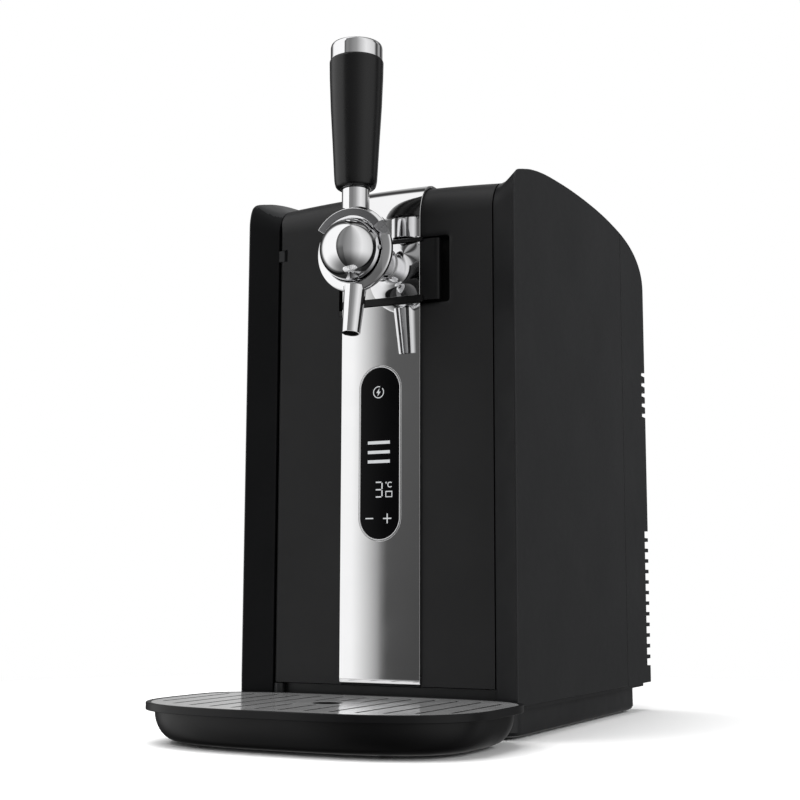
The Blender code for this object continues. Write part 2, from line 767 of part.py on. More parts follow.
def vent_boxes(bottom, pitch, height, count, first_column):
    """Cutters of one group of louvres: rows of slots between two upright bars."""
    edge = HALF_WIDTH + OVERRUN
    inner = VENT_COLUMN_X + VENT_BAR_HALF
    middle = VENT_COLUMN_X - VENT_BAR_HALF
    columns = [(-edge, -inner), (-middle, middle), (inner, edge)]
    shapes = []
    for row in range(count):
        low = bottom + row * pitch
        for column, (left, right) in enumerate(columns):
            above_inlet = low > INLET_Z + INLET_HALF_HEIGHT + INLET_FLANGE + WALL
            if column == first_column and not above_inlet:
                continue
            shapes.append(box((left, HOUSING_DEPTH - VENT_CUT_DEPTH, low),
                              (right, HOUSING_DEPTH + OVERRUN, low + height)))
    return shapes


def make_rear_housing():
    """Rear housing: one shell round the back, with louvres cut through its corners."""
    loops = edge_rounding(rear_loop, 1)
    loops.append(rear_loop(LIP_X, LIP, 0.0, 0.0))
    loops.append(rear_loop(-LIP_X, LIP, 0.0, 0.0))
    loops += reversed(edge_rounding(rear_loop, -1))
    housing = add_piece("rear_housing", loft(loops), satin_black(),
                        origin=(0.0, y_of(HOUSING_DEPTH), PANEL_BOTTOM))
    inner_x = HALF_WIDTH - WALL
    hollow = [rear_loop(inner_x, OUTER, WALL, 0.0, OVERRUN),
              rear_loop(LIP_X, LIP, WALL, 0.0, OVERRUN),
              rear_loop(-LIP_X, LIP, WALL, 0.0, OVERRUN),
              rear_loop(-inner_x, OUTER, WALL, 0.0, OVERRUN)]
    cut(housing, loft(hollow), "hollow")
    vents = vent_boxes(LOWER_VENT_BOTTOM, LOWER_VENT_PITCH, LOWER_VENT_HEIGHT,
                       LOWER_VENT_COUNT, 0)
    vents += vent_boxes(UPPER_VENT_BOTTOM, UPPER_VENT_PITCH, UPPER_VENT_HEIGHT,
                        UPPER_VENT_COUNT, 0)
    cut(housing, combined(vents), "louvres")
    outline = rounded_outline((-INLET_X, INLET_Z),
                              (INLET_HALF_WIDTH + FIT_GAP, INLET_HALF_HEIGHT + FIT_GAP),
                              INLET_CORNER, SLOT_END_STEPS)
    hole = prism(outline, "Y", y_of(HOUSING_DEPTH - WALL - OVERRUN),
                 y_of(HOUSING_DEPTH + OVERRUN))
    cut(housing, hole, "inlet_hole")


def make_mains_inlet():
    """Mains inlet: a flange behind the rear wall, an open shroud and three pins."""
    rear = HOUSING_DEPTH - WALL - FIT_GAP
    middle = (-INLET_X, INLET_Z)
    flange = rounded_outline(middle, (INLET_HALF_WIDTH + INLET_FLANGE,
                                      INLET_HALF_HEIGHT + INLET_FLANGE),
                             INLET_CORNER, SLOT_END_STEPS)
    shape = prism(flange, "Y", y_of(rear - INLET_FLANGE_THICKNESS), y_of(rear))
    inlet = add_piece("mains_inlet", shape, gloss_black(),
                      origin=(-INLET_X, y_of(rear), INLET_Z))
    shroud = rounded_outline(middle, (INLET_HALF_WIDTH, INLET_HALF_HEIGHT),
                             INLET_CORNER, SLOT_END_STEPS)
    fuse(inlet, prism(shroud, "Y", y_of(rear - INLET_BACK), y_of(rear + INLET_PROUD)),
         "shroud")
    inner = rounded_outline(middle, (INLET_HALF_WIDTH - INLET_WALL,
                                     INLET_HALF_HEIGHT - INLET_WALL),
                            INLET_CORNER - INLET_WALL, SLOT_END_STEPS)
    cut(inlet, prism(inner, "Y", y_of(rear - INLET_BACK + INLET_WALL),
                     y_of(rear + INLET_PROUD + OVERRUN)), "socket")
    pins = []
    for place_x, place_z in ((-INLET_PIN_SPREAD, 0.0), (0.0, INLET_PIN_RISE),
                             (INLET_PIN_SPREAD, 0.0)):
        middle_x = -INLET_X + place_x
        middle_z = INLET_Z + place_z
        pins.append(box((middle_x - INLET_PIN_HALF_HEIGHT, rear - INLET_BACK + FIT_GAP,
                         middle_z - INLET_PIN_HALF_WIDTH),
                        (middle_x + INLET_PIN_HALF_HEIGHT, rear - INLET_FLANGE_THICKNESS,
                         middle_z + INLET_PIN_HALF_WIDTH)))
    fuse(inlet, combined(pins), "pins")


def make_roof_cover():
    """Roof cover between the cheeks, on two ribs that stand on the cabinet."""
    def start_angle(inset):
        return math.acos((LIP_CENTRE_DEPTH - ROOF_FRONT) / (LIP_RADIUS - inset))

    outer = front_corner(LIP, 0.0, start_angle(0.0))
    outer += rear_corner(LIP, 0.0, 0.0, rear_angle(SEAM_DEPTH, 0.0))
    inner = front_corner(LIP, WALL, start_angle(WALL))
    inner += rear_corner(LIP, WALL, 0.0, rear_angle(SEAM_DEPTH, WALL))
    edge = LIP_X - FIT_GAP
    shape = prism(depth_outline(outer + inner[::-1]), "X", -edge, edge)
    roof = add_piece("roof_cover", shape, door_black(),
                     origin=(0.0, y_of(ROOF_FRONT), ROOF_TOP))
    ribs = []
    for depth in (BUTTON_DEPTH + 2.0 * BUTTON_HALF_WIDTH, CABINET_REAR - CHEEK_WIDTH):
        ribs.append(box((-CABINET_HALF_WIDTH, depth, CABINET_TOP + FIT_GAP),
                        (CABINET_HALF_WIDTH, depth + WALL, ROOF_TOP - 0.5 * WALL)))
    fuse(roof, combined(ribs), "ribs")
    hole = rounded_outline((0.0, y_of(BUTTON_DEPTH)),
                           (BUTTON_HALF_WIDTH + FIT_GAP, BUTTON_HALF_DEPTH + FIT_GAP),
                           BUTTON_CORNER, SLOT_END_STEPS)
    cut(roof, prism(hole, "Z", ROOF_TOP - WALL - OVERRUN, ROOF_TOP + OVERRUN), "button_hole")


def make_roof_strip():
    """Chrome strip on the roof, with a hole for the release button."""
    centre = LIP_CENTRE_DEPTH
    reach = LIP_RADIUS + STRIP_PROUD
    seat = LIP_RADIUS + FIT_GAP
    points = []
    for radius in (reach, seat):
        start = math.acos((centre - ROOF_FRONT) / radius)
        arc = []
        for step in range(CORNER_STEPS + 1):
            angle = start + (QUARTER_TURN - start) * step / CORNER_STEPS
            arc.append((centre - radius * math.cos(angle),
                        LIP_CENTRE_Z + radius * math.sin(angle)))
        arc.append((ROOF_STRIP_END, LIP_CENTRE_Z + radius))
        points.append(arc)
    outline = points[0] + points[1][::-1]
    shape = prism(depth_outline(outline), "X", -STRIP_HALF_WIDTH, STRIP_HALF_WIDTH)
    strip = add_piece("roof_strip", shape, chrome(), origin=(0.0, y_of(ROOF_FRONT), ROOF_TOP))
    hole = rounded_outline((0.0, y_of(BUTTON_DEPTH)),
                           (BUTTON_HALF_WIDTH + FIT_GAP, BUTTON_HALF_DEPTH + FIT_GAP),
                           BUTTON_CORNER, SLOT_END_STEPS)
    cut(strip, prism(hole, "Z", ROOF_TOP - OVERRUN, ROOF_TOP + STRIP_PROUD + OVERRUN),
        "button_hole")


# Base
def base_outline(inset, front, rear, height):
    """Round-cornered outline of the base at one height."""
    half = (HALF_WIDTH - inset, 0.5 * (rear - front))
    points = rounded_outline((0.0, y_of(0.5 * (front + rear))), half, BASE_CORNER, BASE_STEPS)
    return [Vector((x, y, height)) for x, y in points]


def foot_places():
    """Middles of the four feet, as x and depth."""
    x = HALF_WIDTH - BASE_INSET - FOOT_INSET
    depths = (BASE_FRONT + FOOT_INSET, BASE_REAR - FOOT_INSET)
    return [(side * x, depth) for depth in depths for side in (-1, 1)]


def make_base_pan():
    """Base pan: an inset tub with ribs, a flange under the panels and the tray stop."""
    edge = BASE_EDGE
    third = BASE_EDGE / 3.0
    body = (BASE_INSET, BASE_FRONT, BASE_REAR)
    loops = [
        base_outline(body[0] + edge, body[1] + edge, body[2] - edge, BASE_BOTTOM),
        base_outline(body[0] + third, body[1] + third, body[2] - third, BASE_BOTTOM + third),
        base_outline(*body, BASE_BOTTOM + edge),
        base_outline(*body, BASE_TOP - BASE_FLANGE),
        base_outline(BASE_FLANGE_INSET, BASE_FRONT - PANEL_GAP, HOUSING_DEPTH - BASE_FLANGE_INSET,
                     BASE_TOP - BASE_FLANGE),
        base_outline(BASE_FLANGE_INSET, BASE_FRONT - PANEL_GAP, HOUSING_DEPTH - BASE_FLANGE_INSET,
                     BASE_TOP)]
    base = add_piece("base_pan", loft(loops), satin_black(),
                     origin=(0.0, y_of(BASE_FRONT), BASE_BOTTOM))
    floor = BASE_BOTTOM + BASE_FLOOR
    inner_x = HALF_WIDTH - BASE_INSET - BASE_WALL
    bounds = [BASE_FRONT + BASE_WALL + BASE_WALL]
    for depth in BASE_RIB_DEPTHS:
        bounds += [depth, depth + BASE_RIB]
    bounds.append(BASE_REAR - BASE_WALL)
    pockets = []
    for front, rear in zip(bounds[0::2], bounds[1::2]):
        pockets.append(box((-inner_x, front, floor), (inner_x, rear, BASE_TOP + OVERRUN)))
    cut(base, combined(pockets), "pockets")
    stop = box((-STOP_HALF_WIDTH, TRAY_REAR - BOWL_INSET + FIT_GAP, STOP_LOW),
               (STOP_HALF_WIDTH, BASE_FRONT + OVERRUN, STOP_HIGH))
    fuse(base, stop, "tray_stop")
    posts = []
    for x, depth in control_posts():
        low = Vector((x, y_of(depth), floor - 0.5 * BASE_FLOOR))
        high = Vector((x, y_of(depth), floor + CONTROL_RISE - FIT_GAP))
        posts.append(rod(CONTROL_POST_RADIUS, low, high, FINE_STEPS))
    fuse(base, combined(posts), "board_posts")
    recesses = []
    for x, depth in foot_places():
        low = Vector((x, y_of(depth), BASE_BOTTOM - OVERRUN))
        high = Vector((x, y_of(depth), FOOT_HEIGHT + FIT_GAP))
        recesses.append(rod(FOOT_RADIUS + FIT_GAP, low, high, FINE_STEPS))
    cut(base, combined(recesses), "foot_recesses")


def make_feet():
    """Rubber feet in the recesses of the base."""
    names = ("foot_front_left", "foot_front_right", "foot_rear_left", "foot_rear_right")
    for name, (x, depth) in zip(names, foot_places()):
        place = Vector((x, y_of(depth), 0.0))
        profile = [(0.0, 0.0), (FOOT_RADIUS - FOOT_EDGE, 0.0), (FOOT_RADIUS, FOOT_EDGE),
                   (FOOT_RADIUS, FOOT_HEIGHT), (0.0, FOOT_HEIGHT)]
        add_piece(name, lathe(profile, place, (0.0, 0.0, 1.0), FINE_STEPS), rubber(),
                  origin=place)


def make_front_sill():
    """Sill under the door, with the boss that carries the lower hinge pin."""
    edge = LIP_X - FIT_GAP
    low = BASE_TOP + FIT_GAP
    high = DOOR_BOTTOM - PANEL_GAP
    shape = box((-edge, SILL_FRONT, low), (edge, CABINET_FRONT - FIT_GAP, high))
    sill = add_piece("front_sill", shape, satin_black(),
                     origin=(0.0, y_of(SILL_FRONT), low))
    foot = Vector((HINGE_X, y_of(HINGE_DEPTH), low))
    head = Vector((HINGE_X, y_of(HINGE_DEPTH), high))
    fuse(sill, rod(SILL_BOSS_RADIUS, foot, head), "hinge_boss")
    raised = Vector((0.0, 0.0, WALL))
    bore_top = Vector((0.0, 0.0, OVERRUN))
    cut(sill, rod(HINGE_PIN_RADIUS + FIT_GAP, foot + raised, head + bore_top), "pin_bore")


def make_hinge_pins():
    """Lower and upper hinge pin of the door, fixed in the sill and in the knuckle."""
    x, y = DOOR_AXIS.x, DOOR_AXIS.y
    low = Vector((x, y, BASE_TOP + FIT_GAP + WALL + FIT_GAP))
    add_piece("hinge_pin_lower", rod(HINGE_PIN_RADIUS, low,
                                     Vector((x, y, DOOR_BOTTOM + HINGE_PIN_REACH))),
              steel(), origin=low)
    low = Vector((x, y, KNUCKLE_LOW - HINGE_PIN_REACH + WALL))
    add_piece("hinge_pin_upper", rod(HINGE_PIN_RADIUS, low,
                                     Vector((x, y, BARREL_TOP - WALL))),
              steel(), origin=low)


# Door
def door_arc(radius, last_depth):
    """Top corner of the door, from its front face to a depth on the roof."""
    end = math.acos((LIP_CENTRE_DEPTH - last_depth) / radius)
    points = []
    for step in range(CORNER_STEPS + 1):
        angle = end * step / CORNER_STEPS
        points.append((LIP_CENTRE_DEPTH - radius * math.cos(angle),
                       LIP_CENTRE_Z + radius * math.sin(angle)))
    return points


def rolled_edge_cutter():
    """What the rolled hinge edge takes away from the left front corner of the door."""
    left = -DOOR_HALF_WIDTH
    points = [(left - OVERRUN, y_of(FRONT_RECESS - OVERRUN)),
              (HINGE_X, y_of(FRONT_RECESS - OVERRUN))]
    for step in range(CORNER_STEPS + 1):
        angle = QUARTER_TURN * step / CORNER_STEPS
        points.append((HINGE_X - BARREL_RADIUS * math.sin(angle),
                       y_of(HINGE_DEPTH) - BARREL_RADIUS * math.cos(angle)))
    points.append((left - OVERRUN, y_of(HINGE_DEPTH)))
    return prism(points, "Z", DOOR_BOTTOM - OVERRUN, ROOF_TOP)


def pill_outline(inset):
    """Outline of the display window, as x and z."""
    half_height = 0.5 * (PILL_TOP - PILL_BOTTOM)
    half = (PILL_HALF_WIDTH - inset, half_height - inset)
    middle = (0.0, PILL_BOTTOM + half_height)
    return rounded_outline(middle, half, PILL_HALF_WIDTH - inset, PILL_STEPS)


def make_door_panel(door):
    """Door panel with a curved top, a rolled hinge edge and its openings."""
    outline = [(FRONT_RECESS, DOOR_BOTTOM)] + door_arc(LIP_RADIUS, DOOR_TOP_DEPTH)
    outline += door_arc(LIP_RADIUS - WALL, DOOR_TOP_DEPTH)[::-1]
    outline.append((DOOR_INNER, DOOR_BOTTOM))
    shape = prism(depth_outline(outline), "X", -DOOR_HALF_WIDTH, DOOR_HALF_WIDTH)
    panel = add_piece("door_panel", shape, door_black(), frame=door)
    cut(panel, rolled_edge_cutter(), "rolled_edge")
    axis = Vector((DOOR_AXIS.x, DOOR_AXIS.y, DOOR_BOTTOM))
    top = Vector((DOOR_AXIS.x, DOOR_AXIS.y, BARREL_TOP))
    fuse(panel, rod(BARREL_RADIUS, axis, top, ROUND_STEPS), "hinge_barrel")
    notch = box((-DOOR_HALF_WIDTH - OVERRUN, FRONT_RECESS - OVERRUN, KNUCKLE_LOW - RUNNING_GAP),
                (HINGE_X + BARREL_RADIUS + RUNNING_GAP, DOOR_REAR, KNUCKLE_HIGH + RUNNING_GAP))
    cut(panel, notch, "knuckle_notch")
    bore = HINGE_PIN_RADIUS + FIT_GAP
    low_bore = rod(bore, Vector((axis.x, axis.y, DOOR_BOTTOM - OVERRUN)),
                   Vector((axis.x, axis.y, DOOR_BOTTOM + HINGE_PIN_REACH + FIT_GAP)))
    high_bore = rod(bore, Vector((axis.x, axis.y, KNUCKLE_LOW - HINGE_PIN_REACH + WALL - FIT_GAP)),
                    Vector((axis.x, axis.y, BARREL_TOP - WALL + FIT_GAP)))
    cut(panel, combined([low_bore, high_bore]), "pin_bores")
    front = y_of(FRONT_RECESS - OVERRUN)
    rear = y_of(DOOR_INNER + OVERRUN)
    cut(panel, prism(pill_outline(PILL_SEAT), "Y", front, rear), "display_hole")
    gate_hole = box((-GATE_HOLE_LEFT, FRONT_RECESS - OVERRUN, GATE_BOTTOM - GATE_GAP),
                    (GATE_HOLE_RIGHT, DOOR_INNER + OVERRUN, GATE_TOP + GATE_GAP))
    cut(panel, gate_hole, "gate_hole")
    ears = box((-GATE_HOLE_LEFT, FRONT_RECESS - OVERRUN, GATE_BOTTOM - GATE_GAP - EAR_HEIGHT
                - FIT_GAP),
               (-GATE_HOLE_LEFT + EAR_WIDTH + FIT_GAP, DOOR_INNER + OVERRUN,
                GATE_TOP + GATE_GAP + EAR_HEIGHT + FIT_GAP))
    cut(panel, ears, "ear_slots")
    notch_half = STRIP_HALF_WIDTH + FIT_GAP
    lip_notch = box((-notch_half, STRIP_FRONT, DOOR_BOTTOM - OVERRUN),
                    (notch_half, DOOR_INNER + OVERRUN, STRIP_LIP + STRIP_LIP_RISE + WALL))
    cut(panel, lip_notch, "strip_notch")


def make_door_liner(door):
    """Insulated inner door, with a pocket for the display board and a cut for the gate."""
    front = DOOR_INNER + FIT_GAP
    shape = box((-LINER_HALF_WIDTH, front, LINER_BOTTOM),
                (LINER_HALF_WIDTH, DOOR_REAR, LINER_TOP))
    liner = add_piece("door_liner", shape, foam_grey(), frame=door)
    pocket = box((-BOARD_HALF_WIDTH - POCKET_MARGIN, front - OVERRUN, PILL_BOTTOM),
                 (BOARD_HALF_WIDTH + POCKET_MARGIN, front + POCKET_DEPTH, PILL_TOP))
    cut(liner, pocket, "board_pocket")
    left, right, low, high = gate_pocket_bounds()
    through = box((left - FIT_GAP, front - OVERRUN, low - FIT_GAP),
                  (right + FIT_GAP, DOOR_REAR + OVERRUN, high + FIT_GAP))
    cut(liner, through, "gate_cut")


def make_door_seal(door):
    """Gasket loop between the door liner and the cabinet."""
    front = DOOR_REAR + FIT_GAP
    rear = CABINET_FRONT - FIT_GAP
    half_height = 0.5 * (LINER_TOP - LINER_BOTTOM) - FIT_GAP
    middle = (0.0, 0.5 * (LINER_TOP + LINER_BOTTOM))
    loops = []
    for inset, depth in ((0.0, front), (0.0, rear), (SEAL_WIDTH, rear), (SEAL_WIDTH, front)):
        outline = rounded_outline(middle, (LINER_HALF_WIDTH - inset, half_height - inset),
                                  SEAL_WIDTH + WALL - 0.9 * inset, SLOT_END_STEPS)
        loops.append([Vector((x, y_of(depth), z)) for x, z in outline])
    add_piece("door_seal", loft(loops, ring=True), rubber(), frame=door)


def make_strips(door):
    """Chrome strip of the door: one length below the gate and one above it."""
    lip_end = FRONT_RECESS + WALL
    knee = STRIP_LIP + STRIP_LIP_KNEE
    bend = STRIP_LIP + STRIP_LIP_RISE
    thickness = STRIP_PROUD - FIT_GAP
    lower = [(STRIP_FRONT, GATE_BOTTOM - FIT_GAP), (STRIP_FRONT, bend),
             (STRIP_FRONT + STRIP_LIP_KNEE, knee), (lip_end, STRIP_LIP),
             (lip_end, STRIP_LIP + thickness),
             (STRIP_BACK + 0.5 * STRIP_LIP_KNEE, knee + thickness),
             (STRIP_BACK, bend), (STRIP_BACK, GATE_BOTTOM - FIT_GAP)]
    shape = prism(depth_outline(lower), "X", -STRIP_HALF_WIDTH, STRIP_HALF_WIDTH)
    strip = add_piece("strip_lower", shape, chrome(), frame=door)
    window = prism(pill_outline(-FIT_GAP), "Y", y_of(STRIP_FRONT - OVERRUN),
                   y_of(STRIP_BACK + OVERRUN))
    cut(strip, window, "display_hole")
    upper = [(STRIP_FRONT, GATE_TOP + FIT_GAP)]
    upper += door_arc(LIP_RADIUS + STRIP_PROUD, DOOR_TOP_DEPTH)
    upper += door_arc(LIP_RADIUS + FIT_GAP, DOOR_TOP_DEPTH)[::-1]
    upper.append((STRIP_BACK, GATE_TOP + FIT_GAP))
    shape = prism(depth_outline(upper), "X", -STRIP_HALF_WIDTH, STRIP_HALF_WIDTH)
    add_piece("strip_upper", shape, chrome(), frame=door)


def make_display(door):
    """Display window, its bezel and the board behind it."""
    loops = []
    front = STRIP_FRONT - BEZEL_PROUD
    for inset, depth in ((0.0, front), (0.0, STRIP_BACK), (BEZEL_WIDTH, STRIP_BACK),
                         (BEZEL_WIDTH, front)):
        loops.append([Vector((x, y_of(depth), z)) for x, z in pill_outline(inset)])
    add_piece("display_bezel", loft(loops, ring=True), chrome(), frame=door)
    glass = prism(pill_outline(BEZEL_WIDTH + FIT_GAP), "Y", y_of(STRIP_FRONT),
                  y_of(STRIP_BACK))
    add_piece("display_window", glass, gloss_black(), frame=door)
    low = PILL_BOTTOM + BOARD_END_MARGIN
    high = PILL_TOP - BOARD_END_MARGIN
    board_front = DOOR_INNER + FIT_GAP
    board_rear = board_front + BOARD_THICKNESS
    board = add_piece("display_board",
                      box((-BOARD_HALF_WIDTH, board_front, low),
                          (BOARD_HALF_WIDTH, board_rear, high)),
                      board_green(), frame=door)
    blocks = []
    for index in range(3):
        bottom = low + WALL + index * (DIGIT_BLOCK_HEIGHT + 2.0 * WALL)
        blocks.append(box((-DIGIT_BLOCK_HALF, board_rear - 0.5 * BOARD_THICKNESS, bottom),
                          (DIGIT_BLOCK_HALF, board_rear + DIGIT_BLOCK_THICKNESS,
                           bottom + DIGIT_BLOCK_HEIGHT)))
    fuse(board, combined(blocks), "display_blocks")


# Tap gate
def gate_pocket_bounds():
    """Left, right, low and high side of the pocket behind the gate."""
    return (-GATE_HOLE_LEFT - GATE_POCKET_WALL, GATE_HOLE_RIGHT + GATE_POCKET_WALL,
            GATE_BOTTOM - GATE_GAP - EAR_HEIGHT, GATE_TOP + GATE_GAP + EAR_HEIGHT)


def make_gate_pocket(door):
    """Pocket behind the gate: finger space, tube passage and two ears for the pin."""
    left, right, low, high = gate_pocket_bounds()
    shape = box((left, DOOR_INNER + FIT_GAP, low), (right, DOOR_REAR, high))
    pocket = add_piece("gate_pocket", shape, satin_black(), frame=door)
    ears = box((-GATE_HOLE_LEFT + FIT_GAP, FRONT_RECESS, low),
               (-GATE_HOLE_LEFT + EAR_WIDTH, DOOR_INNER + OVERRUN, high))
    fuse(pocket, ears, "ears")
    cavity = box((-GATE_HOLE_LEFT, STRIP_FRONT, GATE_BOTTOM - GATE_GAP),
                 (GATE_HOLE_RIGHT, GATE_POCKET_FLOOR, GATE_TOP + GATE_GAP))
    cut(pocket, cavity, "cavity")
    passage = box((-TUBE_HOLE_HALF_WIDTH, GATE_POCKET_FLOOR - OVERRUN,
                   TAP_Z - TUBE_HOLE_HALF_HEIGHT),
                  (TUBE_HOLE_HALF_WIDTH, DOOR_REAR + OVERRUN, TAP_Z + TUBE_HOLE_HALF_HEIGHT))
    cut(pocket, passage, "tube_passage")
    cut(pocket, rod(GATE_PIN_RADIUS + FIT_GAP,
                    Vector((GATE_AXIS.x, GATE_AXIS.y, low + PANEL_GAP)),
                    Vector((GATE_AXIS.x, GATE_AXIS.y, high - PANEL_GAP))), "pin_bore")


def make_gate_pin(door):
    """Pin of the gate hinge, held by the two ears of the pocket."""
    left, right, low, high = gate_pocket_bounds()
    start = Vector((GATE_AXIS.x, GATE_AXIS.y, low + PANEL_GAP + FIT_GAP))
    end = Vector((GATE_AXIS.x, GATE_AXIS.y, high - PANEL_GAP - FIT_GAP))
    add_piece("gate_pin", rod(GATE_PIN_RADIUS, start, end), steel(), frame=door)


def make_gate_frame(gate):
    """Black frame of the gate: backing plate, two bars, hinge barrel and finger grip."""
    back_front = STRIP_FRONT + GATE_PLATE + FIT_GAP
    back_rear = back_front + GATE_BACKING
    left = -STRIP_HALF_WIDTH + FIT_GAP
    shape = box((-GATE_AXIS_X - FIT_GAP, back_front, GATE_BOTTOM + PANEL_GAP),
                (STRIP_HALF_WIDTH + WALL, back_rear, GATE_TOP - PANEL_GAP))
    frame = add_piece("gate_frame", shape, satin_black(), frame=gate)
    bar_front = STRIP_FRONT - BAR_PROUD
    bars = [box((left, bar_front, GATE_BOTTOM),
                (STRIP_HALF_WIDTH + WALL - FIT_GAP, back_rear, GATE_BOTTOM + LOWER_BAR)),
            box((left, bar_front, GATE_TOP - UPPER_BAR),
                (STRIP_HALF_WIDTH + WALL - FIT_GAP, back_rear, GATE_TOP))]
    fuse(frame, combined(bars), "bars")
    grip_left = STRIP_HALF_WIDTH + FIT_GAP
    grip_rear = GRIP_FRONT + GRIP_THICKNESS
    outline = [(grip_left, y_of(back_rear)), (grip_left, y_of(GRIP_FRONT)),
               (GRIP_RIGHT - GRIP_ROLL, y_of(GRIP_FRONT)),
               (GRIP_RIGHT - 0.5 * GRIP_ROLL, y_of(GRIP_FRONT + 0.2 * GRIP_ROLL)),
               (GRIP_RIGHT, y_of(GRIP_FRONT + GRIP_ROLL)),
               (GRIP_RIGHT, y_of(grip_rear + GRIP_ROLL)),
               (GRIP_RIGHT - 0.8 * GRIP_THICKNESS, y_of(grip_rear + GRIP_ROLL)),
               (GRIP_RIGHT - GRIP_THICKNESS, y_of(grip_rear + 0.5 * GRIP_ROLL)),
               (GRIP_RIGHT - GRIP_ROLL - GRIP_THICKNESS, y_of(grip_rear)),
               (grip_left + WALL, y_of(grip_rear)), (grip_left + WALL, y_of(back_rear))]
    grip = prism(outline, "Z", GATE_BOTTOM + GRIP_MARGIN, GATE_TOP - GRIP_MARGIN)
    fuse(frame, grip, "grip")
    low = Vector((GATE_AXIS.x, GATE_AXIS.y, GATE_BOTTOM + 0.5 * GRIP_MARGIN))
    high = Vector((GATE_AXIS.x, GATE_AXIS.y, GATE_TOP - 0.5 * GRIP_MARGIN))
    fuse(frame, rod(GATE_BARREL_RADIUS, low, high), "barrel")
    beyond = Vector((0.0, 0.0, OVERRUN))
    cut(frame, rod(GATE_PIN_RADIUS + FIT_GAP, low - beyond, high + beyond), "pin_bore")
    hole_front = Vector((0.0, y_of(back_front - OVERRUN), TAP_Z))
    hole_rear = Vector((0.0, y_of(back_rear + OVERRUN), TAP_Z))
    cut(frame, rod(SPIGOT_RADIUS + FIT_GAP, hole_front, hole_rear, ROUND_STEPS), "tap_hole")


def make_gate_plate(gate):
    """Chrome plate of the gate, between its two bars."""
    left = -STRIP_HALF_WIDTH + FIT_GAP
    shape = box((left, STRIP_FRONT, GATE_BOTTOM + LOWER_BAR + FIT_GAP),
                (STRIP_HALF_WIDTH - FIT_GAP, STRIP_FRONT + GATE_PLATE,
                 GATE_TOP - UPPER_BAR - FIT_GAP))
    plate = add_piece("gate_plate", shape, chrome(), frame=gate)
    front = Vector((0.0, y_of(STRIP_FRONT - OVERRUN), TAP_Z))
    rear = Vector((0.0, y_of(STRIP_FRONT + GATE_PLATE + OVERRUN), TAP_Z))
    cut(plate, rod(SPIGOT_RADIUS + FIT_GAP, front, rear, ROUND_STEPS), "tap_hole")


# Tap
def cup_profile():
    """Outer profile of the tap cup and neck: radius and distance behind the rim."""
    flange_front = STRIP_FRONT - FIT_GAP - NECK_FLANGE - TAP_DEPTH
    flange_rear = STRIP_FRONT - FIT_GAP - TAP_DEPTH
    points = [(0.0, -CUP_LIP_FORWARD), (CUP_LIP_RADIUS, -CUP_LIP_FORWARD),
              (CUP_LIP_RADIUS + CUP_EDGE, -CUP_LIP_FORWARD + CUP_EDGE),
              (CUP_RADIUS - 0.4 * CUP_EDGE, -CUP_EDGE), (CUP_RADIUS, 0.0)]
    belly = CUP_RADIUS - NECK_RADIUS
    for step in range(1, CORNER_STEPS + 1):
        share = step / CORNER_STEPS
        fall = 0.5 * (1.0 - math.cos(math.pi * share))
        points.append((CUP_RADIUS - belly * fall, CUP_EDGE + (CUP_BACK - CUP_EDGE) * share))
    points += [(NECK_RADIUS, flange_front), (NECK_FLANGE_RADIUS, flange_front),
               (NECK_FLANGE_RADIUS, flange_rear), (SPIGOT_RADIUS, flange_rear),
               (SPIGOT_RADIUS, SPIGOT_REAR - TAP_DEPTH), (0.0, SPIGOT_REAR - TAP_DEPTH)]
    return points


def make_tap_cup(gate):
    """Tap cup with its neck, hollowed for the ball and open at the top for the yoke."""
    foot = Vector((0.0, y_of(TAP_DEPTH), TAP_Z))
    cup = add_piece("tap_cup", lathe(cup_profile(), foot, (0.0, 1.0, 0.0), CUP_STEPS),
                    chrome(), frame=gate)
    cut(cup, ball_shape(BALL_RADIUS + BALL_GROOVE, LEVER_AXIS, CUP_STEPS, FINE_STEPS),
        "ball_pocket")
    reach = CUP_RADIUS + OVERRUN
    notch = box((-reach, TAP_DEPTH - CUP_LIP_FORWARD - OVERRUN, TAP_Z + NOTCH_RISE),
                (reach, TAP_DEPTH + FIT_GAP + FIT_GAP, TAP_Z + reach))
    cut(cup, notch, "yoke_notch")
    socket = BALL_RADIUS + BALL_GROOVE + AXLE_SOCKET
    cut(cup, rod(AXLE_RADIUS + FIT_GAP, LEVER_AXIS - Vector((socket, 0.0, 0.0)),
                 LEVER_AXIS + Vector((socket, 0.0, 0.0)), FINE_STEPS), "axle_sockets")
    seat = SPOUT_TOP - SPOUT_DOWN * FIT_GAP
    cut(cup, rod(SPOUT_TOP_RADIUS + FIT_GAP, seat, SPOUT_END, CUP_STEPS), "spout_socket")
    cut(cup, rod(PLUNGER_RADIUS + FIT_GAP, SPOUT_TOP - SPOUT_DOWN * CUP_LIP_FORWARD,
                 SPOUT_TOP + SPOUT_DOWN * OVERRUN, FINE_STEPS), "plunger_bore")


def make_tap_spout(gate):
    """Tapered spout with its bore."""
    length = (SPOUT_END - SPOUT_TOP).length
    profile = [(SPOUT_BORE, 0.0), (SPOUT_TOP_RADIUS, 0.0), (SPOUT_END_RADIUS, length),
               (SPOUT_BORE, length)]
    add_piece("tap_spout", lathe(profile, SPOUT_TOP, SPOUT_DOWN, ROUND_STEPS, ring=True),
              chrome(), frame=gate)


def make_pinch_plunger(plunger):
    """Plunger that opens the flow when the handle is pulled."""
    start = SPOUT_TOP - SPOUT_DOWN * PLUNGER_ABOVE
    end = SPOUT_TOP + SPOUT_DOWN * PLUNGER_BELOW
    add_piece("pinch_plunger", rod(PLUNGER_RADIUS, start, end), rubber(), frame=plunger)


